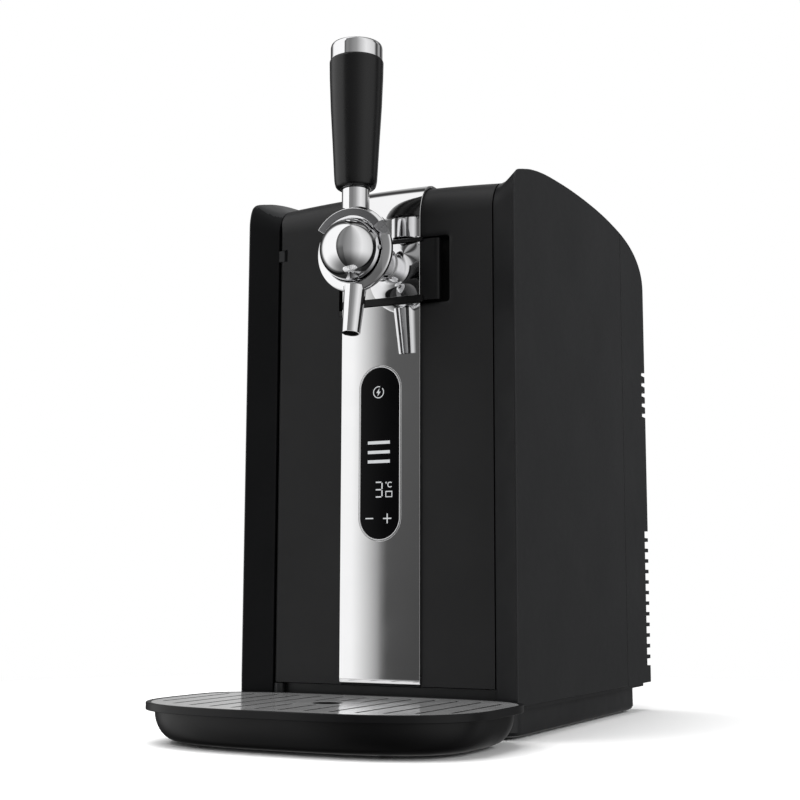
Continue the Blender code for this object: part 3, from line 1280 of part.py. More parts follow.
def make_tap_ball(lever):
    """Ball of the tap, bored for its axle."""
    shape = ball_shape(BALL_RADIUS, LEVER_AXIS, ROUND_STEPS, FINE_STEPS)
    ball = add_piece("tap_ball", shape, chrome(), frame=lever)
    reach = Vector((BALL_RADIUS + OVERRUN, 0.0, 0.0))
    cut(ball, rod(AXLE_RADIUS + FIT_GAP, LEVER_AXIS - reach, LEVER_AXIS + reach), "axle_bore")


def make_ball_axle(lever):
    """Axle through the ball, with its ends in the sockets of the cup."""
    reach = Vector((BALL_RADIUS + BALL_GROOVE + AXLE_SOCKET - FIT_GAP - FIT_GAP, 0.0, 0.0))
    add_piece("ball_axle", rod(AXLE_RADIUS, LEVER_AXIS - reach, LEVER_AXIS + reach),
              steel(), frame=lever)


def make_lever_yoke(lever):
    """Yoke over the ball, which continues the rim of the cup and carries the stem."""
    inner = BALL_RADIUS + FIT_GAP
    section = [(inner, -CUP_LIP_FORWARD), (CUP_LIP_RADIUS, -CUP_LIP_FORWARD),
               (CUP_LIP_RADIUS + CUP_EDGE, -CUP_LIP_FORWARD + CUP_EDGE),
               (CUP_RADIUS - 0.4 * CUP_EDGE, -CUP_EDGE), (CUP_RADIUS, 0.0),
               (CUP_RADIUS, FIT_GAP), (inner, FIT_GAP)]
    loops = []
    for step in range(ROUND_STEPS // 2 + 1):
        share = step / (ROUND_STEPS // 2)
        angle = YOKE_RIGHT_ANGLE + (YOKE_LEFT_ANGLE - YOKE_RIGHT_ANGLE) * share
        loops.append([Vector((radius * math.cos(angle), y_of(TAP_DEPTH + along),
                              TAP_Z + radius * math.sin(angle))) for radius, along in section])
    yoke = add_piece("lever_yoke", loft(loops), chrome(), frame=lever)
    seat_low = TAP_Z + CUP_RADIUS + RUNNING_GAP
    web = box((-YOKE_WEB_HALF, TAP_DEPTH - 0.5 * CUP_LIP_FORWARD, TAP_Z + CUP_RADIUS
               - YOKE_WEB_DROP),
              (YOKE_WEB_HALF, TAP_DEPTH + 0.5 * FIT_GAP, seat_low + RUNNING_GAP))
    fuse(yoke, web, "web")
    low = Vector((0.0, y_of(STEM_DEPTH), seat_low))
    high = Vector((0.0, y_of(STEM_DEPTH), seat_low + STEM_SEAT_HEIGHT))
    fuse(yoke, rod(STEM_SEAT_RADIUS, low, high, ROUND_STEPS), "stem_seat")
    beyond = Vector((0.0, 0.0, OVERRUN))
    cut(yoke, rod(STEM_SPIGOT_RADIUS + FIT_GAP, low + 0.5 * beyond, high + beyond),
        "stem_hole")


def make_lever_stem(lever):
    """Chrome stem between the yoke and the handle grip."""
    seat = TAP_Z + CUP_RADIUS + RUNNING_GAP + STEM_SEAT_HEIGHT + FIT_GAP
    foot = Vector((0.0, y_of(STEM_DEPTH), seat))
    length = STEM_TOP - seat
    spigot = STEM_SEAT_HEIGHT - OVERRUN
    profile = [(0.0, -spigot), (STEM_SPIGOT_RADIUS, -spigot), (STEM_SPIGOT_RADIUS, 0.0),
               (STEM_RADIUS, 0.0), (STEM_RADIUS, length), (0.0, length)]
    add_piece("lever_stem", lathe(profile, foot, (0.0, 0.0, 1.0), ROUND_STEPS), chrome(),
              frame=lever)


def make_handle_grip(lever):
    """Black handle grip, wider towards its top, with a socket for the stem."""
    foot = Vector((0.0, y_of(STEM_DEPTH), GRIP_BOTTOM))
    height = GRIP_TOP - GRIP_BOTTOM
    socket = STEM_TOP + FIT_GAP - GRIP_BOTTOM
    waist = GRIP_WAIST_RISE
    half_waist = 0.5 * (GRIP_WAIST_RADIUS + GRIP_END_RADIUS)
    profile = [(0.0, socket), (STEM_RADIUS + FIT_GAP, socket), (STEM_RADIUS + FIT_GAP, 0.0),
               (GRIP_END_RADIUS, 0.0), (half_waist + 0.5 * GRIP_EDGE, 0.12 * waist),
               (GRIP_WAIST_RADIUS - 0.4 * GRIP_EDGE, 0.4 * waist),
               (GRIP_WAIST_RADIUS, waist),
               (GRIP_TOP_RADIUS, height - GRIP_EDGE),
               (GRIP_TOP_RADIUS - 0.5 * GRIP_EDGE, height), (0.0, height)]
    add_piece("handle_grip", lathe(profile, foot, (0.0, 0.0, 1.0), ROUND_STEPS),
              grip_black(), frame=lever)


def make_handle_cap(lever):
    """Chrome cap on the handle grip."""
    foot = Vector((0.0, y_of(STEM_DEPTH), GRIP_TOP + FIT_GAP))
    height = HANDLE_TOP - GRIP_TOP - FIT_GAP
    shoulder = height - CAP_CROWN
    profile = [(0.0, 0.0), (CAP_RADIUS, 0.0), (CAP_RADIUS, shoulder - CAP_EDGE),
               (CAP_RADIUS - 0.3 * CAP_EDGE, shoulder - 0.3 * CAP_EDGE),
               (CAP_RADIUS - CAP_EDGE, shoulder), (0.5 * CAP_RADIUS, shoulder + 0.8 * CAP_CROWN),
               (0.0, height)]
    add_piece("handle_cap", lathe(profile, foot, (0.0, 0.0, 1.0), ROUND_STEPS), chrome(),
              frame=lever)


# Cabinet and keg seat
def make_cabinet():
    """Insulated cabinet with the keg chamber, open at the front."""
    shape = box((-CABINET_HALF_WIDTH, CABINET_FRONT, BASE_TOP + FIT_GAP),
                (CABINET_HALF_WIDTH, CABINET_REAR, CABINET_TOP))
    cabinet = add_piece("cabinet", shape, foam_grey(),
                        origin=(0.0, y_of(CABINET_REAR), BASE_TOP))
    radius = KEG_RADIUS + KEG_CLEARANCE
    outline = [(-radius, y_of(CABINET_FRONT - OVERRUN)), (radius, y_of(CABINET_FRONT - OVERRUN))]
    for step in range(KEG_STEPS + 1):
        angle = math.pi * step / KEG_STEPS
        outline.append((radius * math.cos(angle), y_of(KEG_DEPTH) + radius * math.sin(angle)))
    cut(cabinet, prism(outline, "Z", CHAMBER_FLOOR, CHAMBER_TOP), "chamber")
    window = box((-COLD_BLOCK_HALF_WIDTH - FIT_GAP, KEG_DEPTH,
                  COOLER_Z - COLD_BLOCK_HALF_HEIGHT - FIT_GAP),
                 (COLD_BLOCK_HALF_WIDTH + FIT_GAP, CABINET_REAR + OVERRUN,
                  COOLER_Z + COLD_BLOCK_HALF_HEIGHT + FIT_GAP))
    cut(cabinet, window, "cooler_window")
    hole_front = Vector((0.0, y_of(KEG_DEPTH), COUPLING_Z))
    hole_rear = Vector((0.0, y_of(CABINET_REAR + OVERRUN), COUPLING_Z))
    cut(cabinet, rod(COUPLING_RADIUS + FIT_GAP, hole_front, hole_rear), "coupling_hole")
    ears = []
    for side in (-1, 1):
        inner = LATCH_HALF_WIDTH + FIT_GAP
        left, right = sorted((side * inner, side * (inner + LATCH_EAR)))
        ears.append(box((left, LATCH_PIVOT_DEPTH - LATCH_EAR_HALF_DEPTH, CABINET_TOP - WALL),
                        (right, LATCH_PIVOT_DEPTH + LATCH_EAR_HALF_DEPTH,
                         CABINET_TOP + LATCH_EAR_RISE)))
    fuse(cabinet, combined(ears), "latch_ears")
    reach = Vector((LATCH_HALF_WIDTH + LATCH_EAR + OVERRUN, 0.0, 0.0))
    cut(cabinet, rod(LATCH_PIN_RADIUS + FIT_GAP, LATCH_AXIS - reach, LATCH_AXIS + reach),
        "latch_bore")


def make_keg_seat():
    """Dished seat for the keg on the floor of the chamber."""
    foot = Vector((0.0, y_of(KEG_DEPTH), CHAMBER_FLOOR + FIT_GAP))
    radius = KEG_RADIUS - KEG_SEAT_INSET
    rim = KEG_SEAT_PLATE + KEG_SEAT_RIM
    profile = [(0.0, 0.0), (radius, 0.0), (radius, rim), (radius - KEG_SEAT_RIM, rim),
               (radius - 2.0 * KEG_SEAT_RIM, KEG_SEAT_PLATE), (0.0, KEG_SEAT_PLATE)]
    add_piece("keg_seat", lathe(profile, foot, (0.0, 0.0, 1.0), 2 * KEG_STEPS), satin_black(),
              origin=foot)


# Cooling
def make_cold_plate():
    """Aluminium cold plate with the block that reaches into the chamber wall."""
    front = CABINET_REAR + FIT_GAP
    shape = box((-COLD_PLATE_HALF_WIDTH, front, COOLER_Z - COLD_PLATE_HALF_HEIGHT),
                (COLD_PLATE_HALF_WIDTH, front + COLD_PLATE_THICKNESS,
                 COOLER_Z + COLD_PLATE_HALF_HEIGHT))
    plate = add_piece("cold_plate", shape, aluminium(), origin=(0.0, y_of(front), COOLER_Z))
    block = box((-COLD_BLOCK_HALF_WIDTH, front - COLD_BLOCK_DEPTH,
                 COOLER_Z - COLD_BLOCK_HALF_HEIGHT),
                (COLD_BLOCK_HALF_WIDTH, front + 0.5 * COLD_PLATE_THICKNESS,
                 COOLER_Z + COLD_BLOCK_HALF_HEIGHT))
    fuse(plate, block, "block")


def make_cooling_module():
    """Thermoelectric module between the cold plate and the heat sink."""
    front = CABINET_REAR + COLD_PLATE_THICKNESS + FIT_GAP + FIT_GAP
    shape = box((-MODULE_HALF, front, COOLER_Z - MODULE_HALF),
                (MODULE_HALF, front + MODULE_THICKNESS, COOLER_Z + MODULE_HALF))
    add_piece("thermoelectric_module", shape, ceramic(), origin=(0.0, y_of(front), COOLER_Z))


def sink_outline():
    """Comb section of the heat sink, as x and y."""
    front = CABINET_REAR + COLD_PLATE_THICKNESS + MODULE_THICKNESS + 3.0 * FIT_GAP
    root = y_of(front + SINK_BASE)
    tip = y_of(front + SINK_BASE + SINK_FIN_LENGTH)
    pitch = (2.0 * SINK_HALF_WIDTH - SINK_FIN_THICKNESS) / (SINK_FIN_COUNT - 1)
    points = [(SINK_HALF_WIDTH, y_of(front)), (-SINK_HALF_WIDTH, y_of(front))]
    for fin in range(SINK_FIN_COUNT):
        left = -SINK_HALF_WIDTH + fin * pitch
        right = left + SINK_FIN_THICKNESS
        if fin:
            points.append((left, root))
        points += [(left, tip), (right, tip)]
        if fin < SINK_FIN_COUNT - 1:
            points.append((right, root))
    return points


def make_heat_sink():
    """Finned aluminium heat sink."""
    shape = prism(sink_outline(), "Z", COOLER_Z - SINK_HALF_HEIGHT, COOLER_Z + SINK_HALF_HEIGHT)
    add_piece("heat_sink", shape, aluminium(), origin=(0.0, FAN_AXIS.y, COOLER_Z))


def make_fan_frame():
    """Square fan frame with three struts and the bearing boss at its rear."""
    outline = rounded_outline((0.0, COOLER_Z), (FAN_HALF, FAN_HALF), FAN_CORNER, SLOT_END_STEPS)
    rear = FAN_FRONT + FAN_DEPTH
    frame = add_piece("fan_frame", prism(outline, "Y", y_of(FAN_FRONT), y_of(rear)),
                      satin_black(), origin=FAN_AXIS)
    cut(frame, rod(FAN_BORE, Vector((0.0, y_of(FAN_FRONT - OVERRUN), COOLER_Z)),
                   Vector((0.0, y_of(rear + OVERRUN), COOLER_Z)), ROUND_STEPS), "bore")
    boss_front = y_of(rear - FAN_STRUT)
    boss = rod(FAN_BOSS_RADIUS, Vector((0.0, boss_front, COOLER_Z)),
               Vector((0.0, y_of(rear), COOLER_Z)), ROUND_STEPS)
    fuse(frame, boss, "boss")
    reach = FAN_BORE + 0.5 * WALL
    for index in range(3):
        angle = QUARTER_TURN + index * FULL_TURN / 3.0
        across = Vector((-math.sin(angle), 0.0, math.cos(angle))) * FAN_STRUT_HALF
        along = Vector((math.cos(angle), 0.0, math.sin(angle)))
        inner = along * (0.5 * FAN_BOSS_RADIUS)
        outer = along * reach
        centre = Vector((0.0, 0.0, COOLER_Z))
        loops = []
        for place in (boss_front, y_of(rear)):
            corners = (inner - across, outer - across, outer + across, inner + across)
            loops.append([centre + corner + Vector((0.0, place, 0.0)) for corner in corners])
        fuse(frame, loft(loops), "strut_" + str(index + 1))
    cut(frame, rod(ROTOR_SHAFT_RADIUS + FIT_GAP,
                   Vector((0.0, boss_front - OVERRUN, COOLER_Z)),
                   Vector((0.0, y_of(rear + OVERRUN), COOLER_Z))), "bearing")


def blade_loops(index):
    """Sections of one fan blade, from inside the hub to its tip."""
    rear = y_of(FAN_FRONT + FAN_DEPTH - FAN_STRUT - RUNNING_GAP)
    front = rear - ROTOR_LENGTH
    base = index * FULL_TURN / ROTOR_BLADES
    loops = []
    for radius in (ROTOR_HUB_RADIUS - BLADE_SINK, ROTOR_TIP_RADIUS):
        half = 0.5 * BLADE_THICKNESS / radius
        corners = ((base - half, front + BLADE_THICKNESS), (base + half, front + BLADE_THICKNESS),
                   (base + BLADE_SWEEP + half, rear - BLADE_THICKNESS),
                   (base + BLADE_SWEEP - half, rear - BLADE_THICKNESS))
        loops.append([Vector((radius * math.cos(angle), place,
                              COOLER_Z + radius * math.sin(angle)))
                      for angle, place in corners])
    return loops


def make_fan_rotor(fan):
    """Fan rotor: hub, shaft and swept blades."""
    rear = y_of(FAN_FRONT + FAN_DEPTH - FAN_STRUT - RUNNING_GAP)
    foot = Vector((0.0, rear - ROTOR_LENGTH, COOLER_Z))
    shaft = ROTOR_LENGTH + RUNNING_GAP + FAN_STRUT - FIT_GAP
    profile = [(0.0, 0.0), (ROTOR_HUB_RADIUS - FAN_STRUT_HALF, 0.0),
               (ROTOR_HUB_RADIUS, FAN_STRUT_HALF), (ROTOR_HUB_RADIUS, ROTOR_LENGTH),
               (ROTOR_SHAFT_RADIUS, ROTOR_LENGTH), (ROTOR_SHAFT_RADIUS, shaft), (0.0, shaft)]
    rotor = add_piece("fan_rotor", lathe(profile, foot, (0.0, 1.0, 0.0), ROUND_STEPS),
                      satin_black(), frame=fan)
    fuse(rotor, combined([loft(blade_loops(index)) for index in range(ROTOR_BLADES)]),
         "blades")


# Electrics and air
def make_power_supply():
    """Power supply box with cooling slots in its cover."""
    low = BASE_BOTTOM + BASE_FLOOR + FIT_GAP
    outline = rounded_outline((SUPPLY_X, y_of(0.5 * (SUPPLY_FRONT + SUPPLY_REAR))),
                              (SUPPLY_HALF_WIDTH, 0.5 * (SUPPLY_REAR - SUPPLY_FRONT)),
                              WALL, SLOT_END_STEPS)
    supply = add_piece("power_supply", prism(outline, "Z", low, low + SUPPLY_HEIGHT), steel(),
                       origin=(SUPPLY_X, y_of(SUPPLY_FRONT), low))
    slots = []
    middle = 0.5 * (SUPPLY_FRONT + SUPPLY_REAR)
    for index in range(SUPPLY_SLOT_COUNT):
        depth = middle + (index - 0.5 * (SUPPLY_SLOT_COUNT - 1)) * SUPPLY_SLOT_PITCH
        slots.append(box((SUPPLY_X - 0.7 * SUPPLY_HALF_WIDTH, depth - SUPPLY_SLOT_HALF,
                          low + SUPPLY_HEIGHT - SUPPLY_SLOT_DEPTH),
                         (SUPPLY_X + 0.7 * SUPPLY_HALF_WIDTH, depth + SUPPLY_SLOT_HALF,
                          low + SUPPLY_HEIGHT + OVERRUN)))
    cut(supply, combined(slots), "slots")


def control_posts():
    """Middles of the posts under the control board, as x and depth."""
    x = CONTROL_HALF_WIDTH - CONTROL_POST_INSET
    depths = (CONTROL_FRONT + CONTROL_POST_INSET, CONTROL_REAR - CONTROL_POST_INSET)
    return [(CONTROL_X + side * x, depth) for depth in depths for side in (-1, 1)]


def make_control_board():
    """Control board on its posts, with a chip and two capacitors."""
    low = BASE_BOTTOM + BASE_FLOOR + CONTROL_RISE
    high = low + BOARD_THICKNESS
    board = add_piece("control_board",
                      box((CONTROL_X - CONTROL_HALF_WIDTH, CONTROL_FRONT, low),
                          (CONTROL_X + CONTROL_HALF_WIDTH, CONTROL_REAR, high)),
                      board_green(), origin=(CONTROL_X, y_of(CONTROL_FRONT), low))
    middle = 0.5 * (CONTROL_FRONT + CONTROL_REAR)
    parts = [box((CONTROL_X - CONTROL_CHIP_HALF, middle - CONTROL_CHIP_HALF,
                  low + 0.5 * BOARD_THICKNESS),
                 (CONTROL_X + CONTROL_CHIP_HALF, middle + CONTROL_CHIP_HALF,
                  high + CONTROL_CHIP_HEIGHT))]
    for side in (-1, 1):
        foot = Vector((CONTROL_X + side * 2.6 * CONTROL_CHIP_HALF, y_of(middle),
                       low + 0.5 * BOARD_THICKNESS))
        parts.append(rod(CONTROL_CAN_RADIUS, foot, foot + Vector((0.0, 0.0, CONTROL_CAN_HEIGHT))))
    fuse(board, combined(parts), "components")


def pump_middle():
    """Middle of the air pump, as a depth."""
    return CABINET_REAR + FIT_GAP + PUMP_MOUNT_THICKNESS + PUMP_HEAD_HALF


def make_air_pump():
    """Air pump: motor, head and outlet nipple on a mounting plate."""
    depth = pump_middle()
    front = CABINET_REAR + FIT_GAP
    top = PUMP_BOTTOM + PUMP_MOTOR_HEIGHT + PUMP_HEAD_HEIGHT
    shape = box((PUMP_X - PUMP_MOUNT_HALF, front, PUMP_BOTTOM),
                (PUMP_X + PUMP_MOUNT_HALF, front + PUMP_MOUNT_THICKNESS, top))
    pump = add_piece("air_pump", shape, satin_black(),
                     origin=(PUMP_X, y_of(front), PUMP_BOTTOM))
    head_low = PUMP_BOTTOM + PUMP_MOTOR_HEIGHT
    head = box((PUMP_X - PUMP_HEAD_HALF, front + 0.5 * PUMP_MOUNT_THICKNESS, head_low),
               (PUMP_X + PUMP_HEAD_HALF, depth + PUMP_HEAD_HALF, top - WALL))
    fuse(pump, head, "head")
    foot = Vector((PUMP_X, y_of(depth), PUMP_BOTTOM + WALL))
    fuse(pump, rod(PUMP_MOTOR_RADIUS, foot, Vector((PUMP_X, y_of(depth), head_low + WALL)),
                   ROUND_STEPS), "motor")
    tip = Vector((PUMP_X, y_of(depth), top - WALL + NIPPLE_LENGTH))
    fuse(pump, rod(NIPPLE_RADIUS, Vector((PUMP_X, y_of(depth), head_low + WALL + WALL)), tip),
         "nipple")


def make_air_coupling():
    """Air coupling through the rear wall of the cabinet."""
    nose = CABINET_REAR - (CABINET_REAR - KEG_DEPTH - KEG_RADIUS - KEG_CLEARANCE) + FIT_GAP
    foot = Vector((0.0, y_of(nose), COUPLING_Z))
    flange = CABINET_REAR + FIT_GAP - nose
    barb = flange + COUPLING_FLANGE
    profile = [(0.0, 0.0), (COUPLING_RADIUS, 0.0), (COUPLING_RADIUS, flange),
               (COUPLING_FLANGE_RADIUS, flange), (COUPLING_FLANGE_RADIUS, barb),
               (NIPPLE_RADIUS, barb), (NIPPLE_RADIUS, barb + NIPPLE_LENGTH),
               (0.0, barb + NIPPLE_LENGTH)]
    add_piece("air_coupling", lathe(profile, foot, (0.0, 1.0, 0.0), ROUND_STEPS), satin_black(),
              origin=foot)


def bend_points(corner, into, out, radius):
    """Points of a round bend at a corner between two directions."""
    start = corner - into * radius
    points = []
    for step in range(HOSE_STEPS + 1):
        angle = QUARTER_TURN * step / HOSE_STEPS
        points.append(start + into * (radius * math.sin(angle))
                      + out * (radius * (1.0 - math.cos(angle))))
    return points


def make_air_hose():
    """Air hose from the nipple of the pump to the barb of the coupling."""
    depth = pump_middle()
    top = PUMP_BOTTOM + PUMP_MOTOR_HEIGHT + PUMP_HEAD_HEIGHT - WALL + NIPPLE_LENGTH
    barb = CABINET_REAR + FIT_GAP + COUPLING_FLANGE + NIPPLE_LENGTH + FIT_GAP
    up = Vector((0.0, 0.0, 1.0))
    right = Vector((1.0, 0.0, 0.0))
    forward = Vector((0.0, -1.0, 0.0))
    backward = Vector((0.0, 1.0, 0.0))
    run_depth = barb + HOSE_BEND + WALL
    start = Vector((PUMP_X, y_of(depth), top + FIT_GAP))
    lift = start + up * (HOSE_BEND + WALL)
    rise = Vector((PUMP_X, y_of(run_depth), lift.z))
    turn = Vector((PUMP_X, y_of(run_depth), COUPLING_Z))
    last = Vector((0.0, y_of(run_depth), COUPLING_Z))
    end = Vector((0.0, y_of(barb), COUPLING_Z))
    small = 0.5 * (run_depth - depth)
    points = [start]
    points += bend_points(lift, up, backward, min(small, HOSE_BEND))
    points += bend_points(rise, backward, up, min(small, HOSE_BEND))
    points += bend_points(turn, up, right, HOSE_BEND)
    points += bend_points(last, right, forward, HOSE_BEND)
    points.append(end)
    curve = bpy.data.curves.new("air_hose", "CURVE")
    curve.dimensions = "3D"
    curve.bevel_depth = HOSE_RADIUS
    curve.bevel_resolution = 2
    curve.use_fill_caps = True
    spline = curve.splines.new("POLY")
    spline.points.add(len(points) - 1)
    for spot, point in zip(spline.points, points):
        spot.co = (*(point - start), 1.0)
    curve.materials.append(hose_clear())
    hose = bpy.data.objects.new("air_hose", curve)
    hose.location = start
    bpy.context.collection.objects.link(hose)


# Door release
def make_latch_hook(latch):
    """Latch hook: a rocker with a tooth over the striker and a tail under the button."""
    low = CABINET_TOP + LATCH_ARM_LOW
    high = CABINET_TOP + LATCH_ARM_HIGH
    tooth = LATCH_TOOTH_FRONT + LATCH_TOOTH
    outline = [(LATCH_TOOTH_FRONT, CABINET_TOP + LATCH_TOOTH_LOW),
               (tooth, CABINET_TOP + LATCH_TOOTH_LOW), (tooth, low), (LATCH_ARM_END, low),
               (LATCH_ARM_END, high), (LATCH_TOOTH_FRONT, high)]
    shape = prism(depth_outline(outline), "X", -LATCH_HALF_WIDTH, LATCH_HALF_WIDTH)
    hook = add_piece("latch_hook", shape, steel(), frame=latch)
    reach = Vector((LATCH_HALF_WIDTH, 0.0, 0.0))
    fuse(hook, rod(LATCH_BOSS_RADIUS, LATCH_AXIS - reach, LATCH_AXIS + reach), "boss")
    beyond = Vector((LATCH_HALF_WIDTH + OVERRUN, 0.0, 0.0))
    cut(hook, rod(LATCH_PIN_RADIUS + FIT_GAP, LATCH_AXIS - beyond, LATCH_AXIS + beyond),
        "pin_bore")


def make_latch_pin():
    """Pin that the latch hook rocks on, in the ears of the cabinet."""
    reach = Vector((LATCH_HALF_WIDTH + LATCH_EAR, 0.0, 0.0))
    add_piece("latch_pin", rod(LATCH_PIN_RADIUS, LATCH_AXIS - reach, LATCH_AXIS + reach),
              steel(), origin=LATCH_AXIS)


def make_door_striker(door):
    """Steel striker on the top of the door liner, with its lip under the tooth of the hook."""
    lip_front = LATCH_TOOTH_FRONT + LATCH_TOOTH + STRIKER_PLAY
    low = LINER_TOP + FIT_GAP
    lip_top = CABINET_TOP + LATCH_TOOTH_LOW - FIT_GAP
    outline = [(STRIKER_FRONT, low), (lip_front + STRIKER_LIP, low),
               (lip_front + STRIKER_LIP, lip_top), (lip_front, lip_top),
               (lip_front, low + STRIKER_PLATE), (STRIKER_FRONT, low + STRIKER_PLATE)]
    shape = prism(depth_outline(outline), "X", -STRIKER_HALF_WIDTH, STRIKER_HALF_WIDTH)
    add_piece("door_striker", shape, steel(), frame=door)


def make_release_button(button):
    """Release button in the roof, with a flange that stops it and a stem to the hook."""
    middle = (0.0, y_of(BUTTON_DEPTH))
    top = ROOF_TOP + STRIP_PROUD + BUTTON_PROUD
    flange_top = ROOF_TOP - WALL - FIT_GAP
    cap = rounded_outline(middle, (BUTTON_HALF_WIDTH, BUTTON_HALF_DEPTH), BUTTON_CORNER,
                          SLOT_END_STEPS)
    piece = add_piece("release_button", prism(cap, "Z", flange_top - BUTTON_FLANGE_HEIGHT, top),
                      grip_black(), frame=button)
    flange = rounded_outline(middle, (BUTTON_HALF_WIDTH + BUTTON_FLANGE,
                                      BUTTON_HALF_DEPTH + BUTTON_FLANGE),
                             BUTTON_CORNER, SLOT_END_STEPS)
    fuse(piece, prism(flange, "Z", flange_top - BUTTON_FLANGE_HEIGHT - PANEL_GAP, flange_top),
         "flange")
    foot = Vector((0.0, y_of(BUTTON_DEPTH), CABINET_TOP + LATCH_ARM_HIGH + FIT_GAP))
    fuse(piece, rod(BUTTON_STEM_RADIUS, foot, Vector((0.0, y_of(BUTTON_DEPTH), flange_top))),
         "stem")


def make_latch_spring():
    """Return spring under the tail of the hook: a short coil of round wire."""
    low = CABINET_TOP + FIT_GAP + SPRING_WIRE
    high = CABINET_TOP + LATCH_ARM_LOW - FIT_GAP - SPRING_WIRE
    centre = Vector((0.0, y_of(SPRING_DEPTH), low))
    count = SPRING_TURNS * SPRING_TURN_STEPS
    curve = bpy.data.curves.new("latch_spring", "CURVE")
    curve.dimensions = "3D"
    curve.bevel_depth = SPRING_WIRE
    curve.bevel_resolution = 1
    curve.use_fill_caps = True
    spline = curve.splines.new("POLY")
    spline.points.add(count)
    for index, spot in enumerate(spline.points):
        angle = FULL_TURN * index / SPRING_TURN_STEPS
        rise = (high - low) * index / count
        spot.co = (SPRING_RADIUS * math.cos(angle), SPRING_RADIUS * math.sin(angle), rise, 1.0)
    curve.materials.append(steel())
    spring = bpy.data.objects.new("latch_spring", curve)
    spring.location = centre
    bpy.context.collection.objects.link(spring)


# Drip tray
def tray_outline(inset, height):
    """Plan of the tray at one height, drawn in by an inset."""
    half = 0.5 * TRAY_WIDTH - inset
    front = TRAY_MIDDLE + TRAY_REACH - inset
    rear = TRAY_REAR - TRAY_MIDDLE - inset
    points = []
    for step in range(4 * TRAY_STEPS):
        angle = QUARTER_TURN * step / TRAY_STEPS
        across = math.cos(angle)
        along = math.sin(angle)
        bulge = TRAY_REAR_BULGE_SHARE if along >= 0.0 else TRAY_FRONT_BULGE_SHARE
        reach = rear if along >= 0.0 else front
        power = 2.0 / bulge
        x = math.copysign(half * abs(across) ** power, across)
        depth = TRAY_MIDDLE + math.copysign(reach * abs(along) ** power, along)
        points.append(Vector((x, y_of(depth), height)))
    return points


def make_tray_bowl(tray):
    """Drip bowl: rolled sides on a flat bottom, open at the top."""
    top = TRAY_TOP - RIM_HEIGHT - FIT_GAP
    rise = top - BOWL_BOTTOM
    loops = []
    for step in range(BOWL_STEPS + 1):
        angle = QUARTER_TURN * step / BOWL_STEPS
        loops.append(tray_outline(BOWL_INSET + BOWL_ROLL * (1.0 - math.sin(angle)),
                                  BOWL_BOTTOM + rise * (1.0 - math.cos(angle))))
    for step in range(BOWL_STEPS, -1, -1):
        angle = QUARTER_TURN * step / BOWL_STEPS
        loops.append(tray_outline(BOWL_INSET + BOWL_WALL + BOWL_ROLL * (1.0 - math.sin(angle)),
                                  BOWL_BOTTOM + BOWL_WALL
                                  + (rise - BOWL_WALL) * (1.0 - math.cos(angle))))
    add_piece("tray_bowl", loft(loops), satin_black(), frame=tray)


def make_tray_rim(tray):
    """Rim of the tray, with the ledge that the grille lies on."""
    low = TRAY_TOP - RIM_HEIGHT
    ledge = TRAY_TOP - RIM_LEDGE_DROP
    loops = [tray_outline(RIM_EDGE, low), tray_outline(0.0, low + RIM_EDGE),
             tray_outline(0.0, TRAY_TOP - RIM_EDGE), tray_outline(RIM_EDGE, TRAY_TOP),
             tray_outline(RIM_WIDTH, TRAY_TOP), tray_outline(RIM_WIDTH, ledge),
             tray_outline(RIM_WIDTH + RIM_LEDGE + BOWL_WALL, ledge),
             tray_outline(RIM_WIDTH + RIM_LEDGE + BOWL_WALL, low)]
    add_piece("tray_rim", loft(loops, ring=True), satin_black(), frame=tray)


def slot_spans(x):
    """Front and rear ends of the slots at one x, as depths."""
    half = 0.5 * TRAY_WIDTH - RIM_WIDTH
    front_share = (1.0 - (abs(x) / half) ** TRAY_FRONT_BULGE_SHARE) ** (
        1.0 / TRAY_FRONT_BULGE_SHARE)
    rear_share = (1.0 - (abs(x) / half) ** TRAY_REAR_BULGE_SHARE) ** (
        1.0 / TRAY_REAR_BULGE_SHARE)
    front = TRAY_MIDDLE - (TRAY_MIDDLE + TRAY_REACH - RIM_WIDTH) * front_share + SLOT_MARGIN
    rear = TRAY_MIDDLE + (TRAY_REAR - TRAY_MIDDLE - RIM_WIDTH) * rear_share - SLOT_MARGIN
    if abs(x) < (SLOT_BREAK_COUNT - 0.5) * SLOT_PITCH:
        return [(front, FINGER_HOLE_DEPTH - SLOT_BREAK), (FINGER_HOLE_DEPTH + SLOT_BREAK, rear)]
    return [(front, rear)]


def make_tray_grille(grille):
    """Steel grille with long slots and a finger hole."""
    top = TRAY_TOP - FIT_GAP
    loops = [tray_outline(RIM_WIDTH + FIT_GAP, top - GRILLE_THICKNESS),
             tray_outline(RIM_WIDTH + FIT_GAP, top)]
    plate = add_piece("tray_grille", loft(loops), steel(), frame=grille)
    low = top - GRILLE_THICKNESS - OVERRUN
    slots = []
    for index in range(-SLOT_COUNT_EACH_SIDE, SLOT_COUNT_EACH_SIDE + 1):
        x = index * SLOT_PITCH
        for front, rear in slot_spans(x):
            outline = rounded_outline((x, y_of(0.5 * (front + rear))),
                                      (SLOT_HALF_WIDTH, 0.5 * (rear - front)),
                                      SLOT_HALF_WIDTH, SLOT_END_STEPS)
            slots.append(prism(outline, "Z", low, top + OVERRUN))
    cut(plate, combined(slots), "slots")
    middle = Vector((0.0, y_of(FINGER_HOLE_DEPTH), low))
    cut(plate, rod(FINGER_HOLE_RADIUS, middle,
                   middle + Vector((0.0, 0.0, GRILLE_THICKNESS + OVERRUN + OVERRUN)),
                   ROUND_STEPS), "finger_hole")


